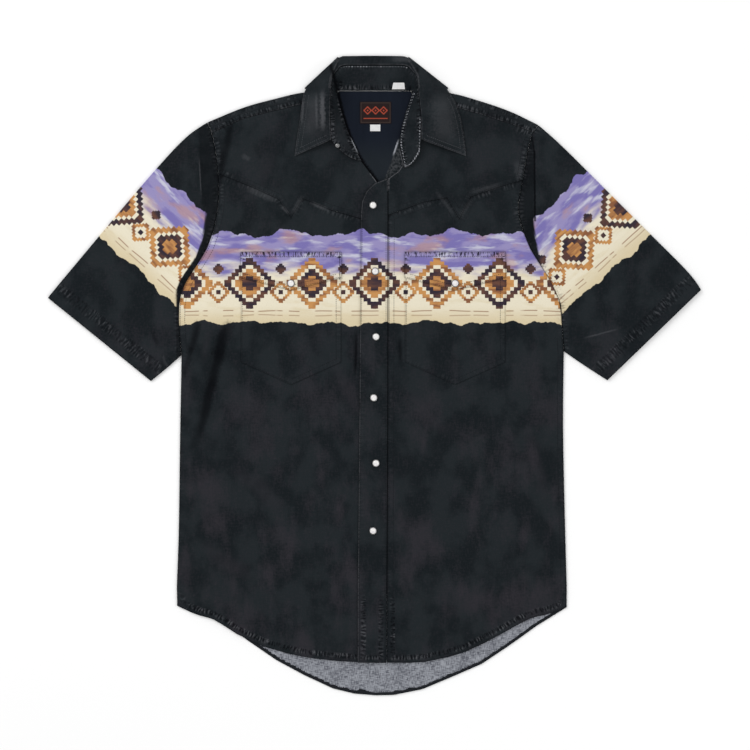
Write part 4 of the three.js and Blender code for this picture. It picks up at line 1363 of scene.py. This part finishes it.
class SHIRT_OT_sewing(bpy.types.Operator):
    """Rows of stitches"""

    bl_idname = "shirt.sewing"
    bl_label = "Sewing"

    def execute(self, context):
        for thread in ("thread", "grey_thread", "pale_thread"):
            material = thread_material(thread, getattr(colours(), thread))
            groups = {}
            for row in SEAM_ROWS + trim_rows():
                if row[-1] == thread:
                    groups.setdefault(row[0].split("_")[0], []).extend(inset_row(*row))
            for group, places in groups.items():
                sewn = stitches(places, thread)
                finish_piece(sewn, f"{thread}_{group}", [material], [], sharp=180)
        return {"FINISHED"}

# Sections of a snap, as radius and height in millimetres
RING_PROFILE = [(4.3, 0.2), (5.25, 0.2), (5.25, 1.0), (5.05, 1.5), (4.7, 1.7), (4.4, 1.5), (4.3, 1.1)]
PEARL_DOME = [(0, 2.6), (1.3, 2.56), (2.6, 2.35), (3.6, 1.95), (4.15, 1.45)]
PEARL_PROFILE = PEARL_DOME + [(4.28, 1.0), (4.28, 0.3), (0, 0.3)]
STUD_POST = [(0, 1.6), (0.9, 1.55), (1.3, 1.2), (1.3, 0.8)]
STUD_PROFILE = STUD_POST + [(2.4, 0.7), (2.9, 0.45), (3.0, 0.1), (0, 0.1)]


def spun(bm, profile, centre, ring, material_index):
    """Turns a section about an upright line into a closed body."""
    points = [bm.verts.new((r * MM, 0.0, z * MM)) for r, z in profile]
    edges = [bm.edges.new(pair) for pair in zip(points, points[1:])]
    if ring:
        edges.append(bm.edges.new((points[-1], points[0])))
    before = set(bm.faces)
    turn = {"cent": (0, 0, 0), "axis": (0, 0, 1), "angle": 2 * math.pi, "steps": 28}
    bmesh.ops.spin(bm, geom=points + edges, use_merge=True, **turn)
    made = [f for f in bm.faces if f not in before]
    verts = list({v for f in made for v in f.verts})
    bmesh.ops.remove_doubles(bm, verts=verts, dist=1e-6)
    made = [f for f in bm.faces if f not in before]
    bmesh.ops.recalc_face_normals(bm, faces=made)
    verts = list({v for f in made for v in f.verts})
    bmesh.ops.translate(bm, verts=verts, vec=centre)
    for face in made:
        face.material_index = material_index


def pearl_material():
    material, board, shader = new_material("pearl")
    tints = colours()
    x, y, _ = board.split(place_nodes(board))
    swirl = board.noise(x / 2.6, y / 2.6, 3.0)
    warm = board.mix(board.smooth(swirl, 0.35, 0.65), tints.pearl, srgb(214, 210, 214))
    board.plug(shader.inputs["Base Color"], warm)
    shader.inputs["Roughness"].default_value = 0.22
    shader.inputs["Coat Weight"].default_value = 0.6
    shader.inputs["Coat Roughness"].default_value = 0.08
    return material


def nickel_material():
    material, board, shader = new_material("nickel")
    x, y, _ = board.split(place_nodes(board))
    scuff = board.noise(x / 0.7, y / 0.7, 3.0)
    tint = colours().nickel
    dark = tuple(c * 0.5 for c in tint[:3]) + (1.0,)
    board.plug(shader.inputs["Base Color"], board.mix(scuff, dark, tint))
    shader.inputs["Metallic"].default_value = 1.0
    board.plug(shader.inputs["Roughness"], scuff * 0.3 + 0.22)
    return material


class SHIRT_OT_snaps(bpy.types.Operator):
    """Pearl snaps and the stud of the stand"""

    bl_idname = "shirt.snaps"
    bl_label = "Snaps"

    def execute(self, context):
        pearl, nickel = pearl_material(), nickel_material()
        nodes = [f"snap_{i}" for i in range(1, 7)] + ["flap_snap_right", "flap_snap_left"]
        for node in nodes:
            low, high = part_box(node)
            foot = Vector(((low.x + high.x) / 2, (low.y + high.y) / 2, low.z))
            x, y = foot.x / MM, foot.y / MM
            foot.z += (relief(x, y) + folds(x, y)) * MM
            bm = bmesh.new()
            spun(bm, RING_PROFILE, foot, True, 1)
            spun(bm, PEARL_PROFILE, foot, False, 0)
            finish_piece(bm, node + "_cap", [pearl, nickel], [node], sharp=60)
        low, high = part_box("stand_stud")
        bm = bmesh.new()
        spun(bm, STUD_PROFILE, Vector(((low.x + high.x) / 2, (low.y + high.y) / 2, low.z)), False, 0)
        finish_piece(bm, "stand_stud_metal", [nickel], ["stand_stud"], sharp=60)
        return {"FINISHED"}


def label_material():
    """Woven label: a pale border, three diamonds and a line."""
    material, board, shader = new_material("woven_label")
    tints = colours()
    low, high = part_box("neck_label")
    centre = ((low.x + high.x) / 2 / MM, (low.y + high.y) / 2 / MM)
    half = ((high.x - low.x) / 2 / MM, (high.y - low.y) / 2 / MM)
    place = place_nodes(board, 0.0, centre)
    x, y, _ = board.split(place)
    weave = board.group(weave_group(), {"Place": place, "Pitch": 0.5})
    cloth = board.mix(weave["Tone"], tints.label, srgb(44, 34, 33))
    inside = board.math("MAXIMUM", board.math("ABSOLUTE", x) - half[0], board.math("ABSOLUTE", y) - half[1])
    border = board.smooth(board.math("ABSOLUTE", inside + 1.6), 0.7, 0.3)
    cloth = board.mix(border * 0.7, cloth, srgb(66, 55, 50))
    cell = x - board.math("ROUND", x / 11.0) * 11.0
    count = stepped(board, cell, y - 3.0, 1.1)
    row = board.math("LESS_THAN", board.math("ABSOLUTE", x), 16.6)
    cloth = board.mix(upto(board, count, 4) * row, cloth, tints.label_thread)
    cloth = board.mix(upto(board, count, 2) * row, cloth, tints.label)
    cloth = board.mix(upto(board, count, 0) * row, cloth, tints.label_thread)
    bar = board.smooth(board.math("ABSOLUTE", y + 8.0), 0.9, 0.5)
    cloth = board.mix(bar * row, cloth, tints.label_thread)
    board.plug(shader.inputs["Base Color"], cloth)
    cloth_feel(shader, roughness=0.7)
    bump(board, shader, weave["Height"], 0.1 * MM)
    return material


def tab_material():
    """Blank white satin."""
    material, board, shader = new_material("satin_tab")
    place = place_nodes(board)
    x, y, _ = board.split(place)
    shade = board.noise(x / 5.0, y / 5.0, 2.0)
    grain = board.noise(x / 4.0, y / 0.5, 1.0)
    board.plug(shader.inputs["Base Color"], board.mix(shade, colours().tab, srgb(198, 198, 200)))
    cloth_feel(shader, roughness=0.5, specular=0.4)
    bump(board, shader, grain, 0.1 * MM)
    return material


class SHIRT_OT_labels(bpy.types.Operator):
    """Neck label with a plain ornament, and two blank tabs"""

    bl_idname = "shirt.labels"
    bl_label = "Labels"

    def execute(self, context):
        tab = tab_material()
        rows = (
            ("neck_label", label_material(), "label", (43, 30), 0.5),
            ("size_label", tab, "tab", (14, 10), 0.15),
            ("care_label", tab, "tab", (18, 10), 0.2),
        )
        for node, material, slot, cut, swell in rows:
            sheet = laid_sheet(node, 1.0 * MM, cloth_look(relief=0.0, pucker=swell, reach=3, dip=0.1))
            thicken(sheet, 0.5 * MM)
            piece = finish_piece(sheet, node + "_cloth", [material], [node])
            declare_sheet(piece, *cut, "laid", ["yoke_lining"])
        return {"FINISHED"}


class SHIRT_OT_stage(bpy.types.Operator):
    """Floor, lights and camera"""

    bl_idname = "shirt.stage"
    bl_label = "Stage"

    def execute(self, context):
        stage = context.scene.shirt_stage
        bm = bmesh.new()
        bmesh.ops.create_grid(bm, x_segments=2, y_segments=2, size=6.0)
        mesh = bpy.data.meshes.new("floor")
        bm.to_mesh(mesh)
        bm.free()
        floor = bpy.data.objects.new("floor", mesh)
        floor.location.z = -0.0002
        context.scene.collection.objects.link(floor)
        material, board, shader = new_material("floor")
        shader.inputs["Base Color"].default_value = (0.93, 0.93, 0.93, 1.0)
        shader.inputs["Roughness"].default_value = 0.9
        shader.inputs["Specular IOR Level"].default_value = 0.0
        mesh.materials.append(material)
        world = bpy.data.worlds.new("even_light")
        world.use_nodes = True
        background = world.node_tree.nodes["Background"]
        background.inputs["Color"].default_value = (1.0, 1.0, 1.0, 1.0)
        background.inputs["Strength"].default_value = stage.sky
        context.scene.world = world
        self.light(context, "key", (-1.5, 1.5, 1.7), 1.4, stage.key)
        self.light(context, "fill", (1.6, -1.2, 1.8), 2.2, stage.key * 0.6)
        camera = bpy.data.cameras.new("camera")
        camera.lens = camera.sensor_width * stage.camera_height / stage.view_width
        camera.dof.use_dof = False
        holder = bpy.data.objects.new("camera", camera)
        holder.location = (stage.view_x, stage.view_y, stage.camera_height)
        context.scene.collection.objects.link(holder)
        context.scene.camera = holder
        context.scene.view_settings.view_transform = "Standard"
        return {"FINISHED"}

    def light(self, context, name, place, size, power):
        """One soft square light that looks at the shirt."""
        lamp = bpy.data.lights.new(name, "AREA")
        lamp.size = size
        lamp.energy = power
        holder = bpy.data.objects.new(name, lamp)
        holder.location = place
        holder.rotation_euler = (-Vector(place)).to_track_quat("-Z", "Y").to_euler()
        context.scene.collection.objects.link(holder)


class SHIRT_PT_panel(bpy.types.Panel):
    """Lists the shirt's pieces"""

    bl_label = "Western snap shirt"
    bl_space_type = "VIEW_3D"
    bl_region_type = "UI"
    bl_category = "Shirt"

    def draw(self, context):
        for operator in OPERATORS:
            self.layout.operator(operator.bl_idname)
        for group in (context.scene.shirt_sizes, context.scene.shirt_colours, context.scene.shirt_stage):
            for name in type(group).__annotations__:
                self.layout.prop(group, name)


OPERATORS = (
    SHIRT_OT_back,
    SHIRT_OT_fronts,
    SHIRT_OT_sleeves,
    SHIRT_OT_collar,
    SHIRT_OT_sewing,
    SHIRT_OT_snaps,
    SHIRT_OT_labels,
    SHIRT_OT_stage,
)
GROUPS = {"shirt_sizes": ShirtSizes, "shirt_colours": ShirtColours, "shirt_stage": StageSettings}


def register():
    for group in GROUPS.values():
        bpy.utils.register_class(group)
    for name, group in GROUPS.items():
        setattr(bpy.types.Scene, name, bpy.props.PointerProperty(type=group))
    for operator in OPERATORS:
        bpy.utils.register_class(operator)
    bpy.utils.register_class(SHIRT_PT_panel)


def unregister():
    bpy.utils.unregister_class(SHIRT_PT_panel)
    for operator in reversed(OPERATORS):
        bpy.utils.unregister_class(operator)
    for name, group in GROUPS.items():
        delattr(bpy.types.Scene, name)
        bpy.utils.unregister_class(group)


def main():
    """Builds every piece."""
    register()
    for operator in OPERATORS:
        getattr(bpy.ops.shirt, operator.bl_idname.split(".")[1])()


if __name__ == "__main__":
    main()
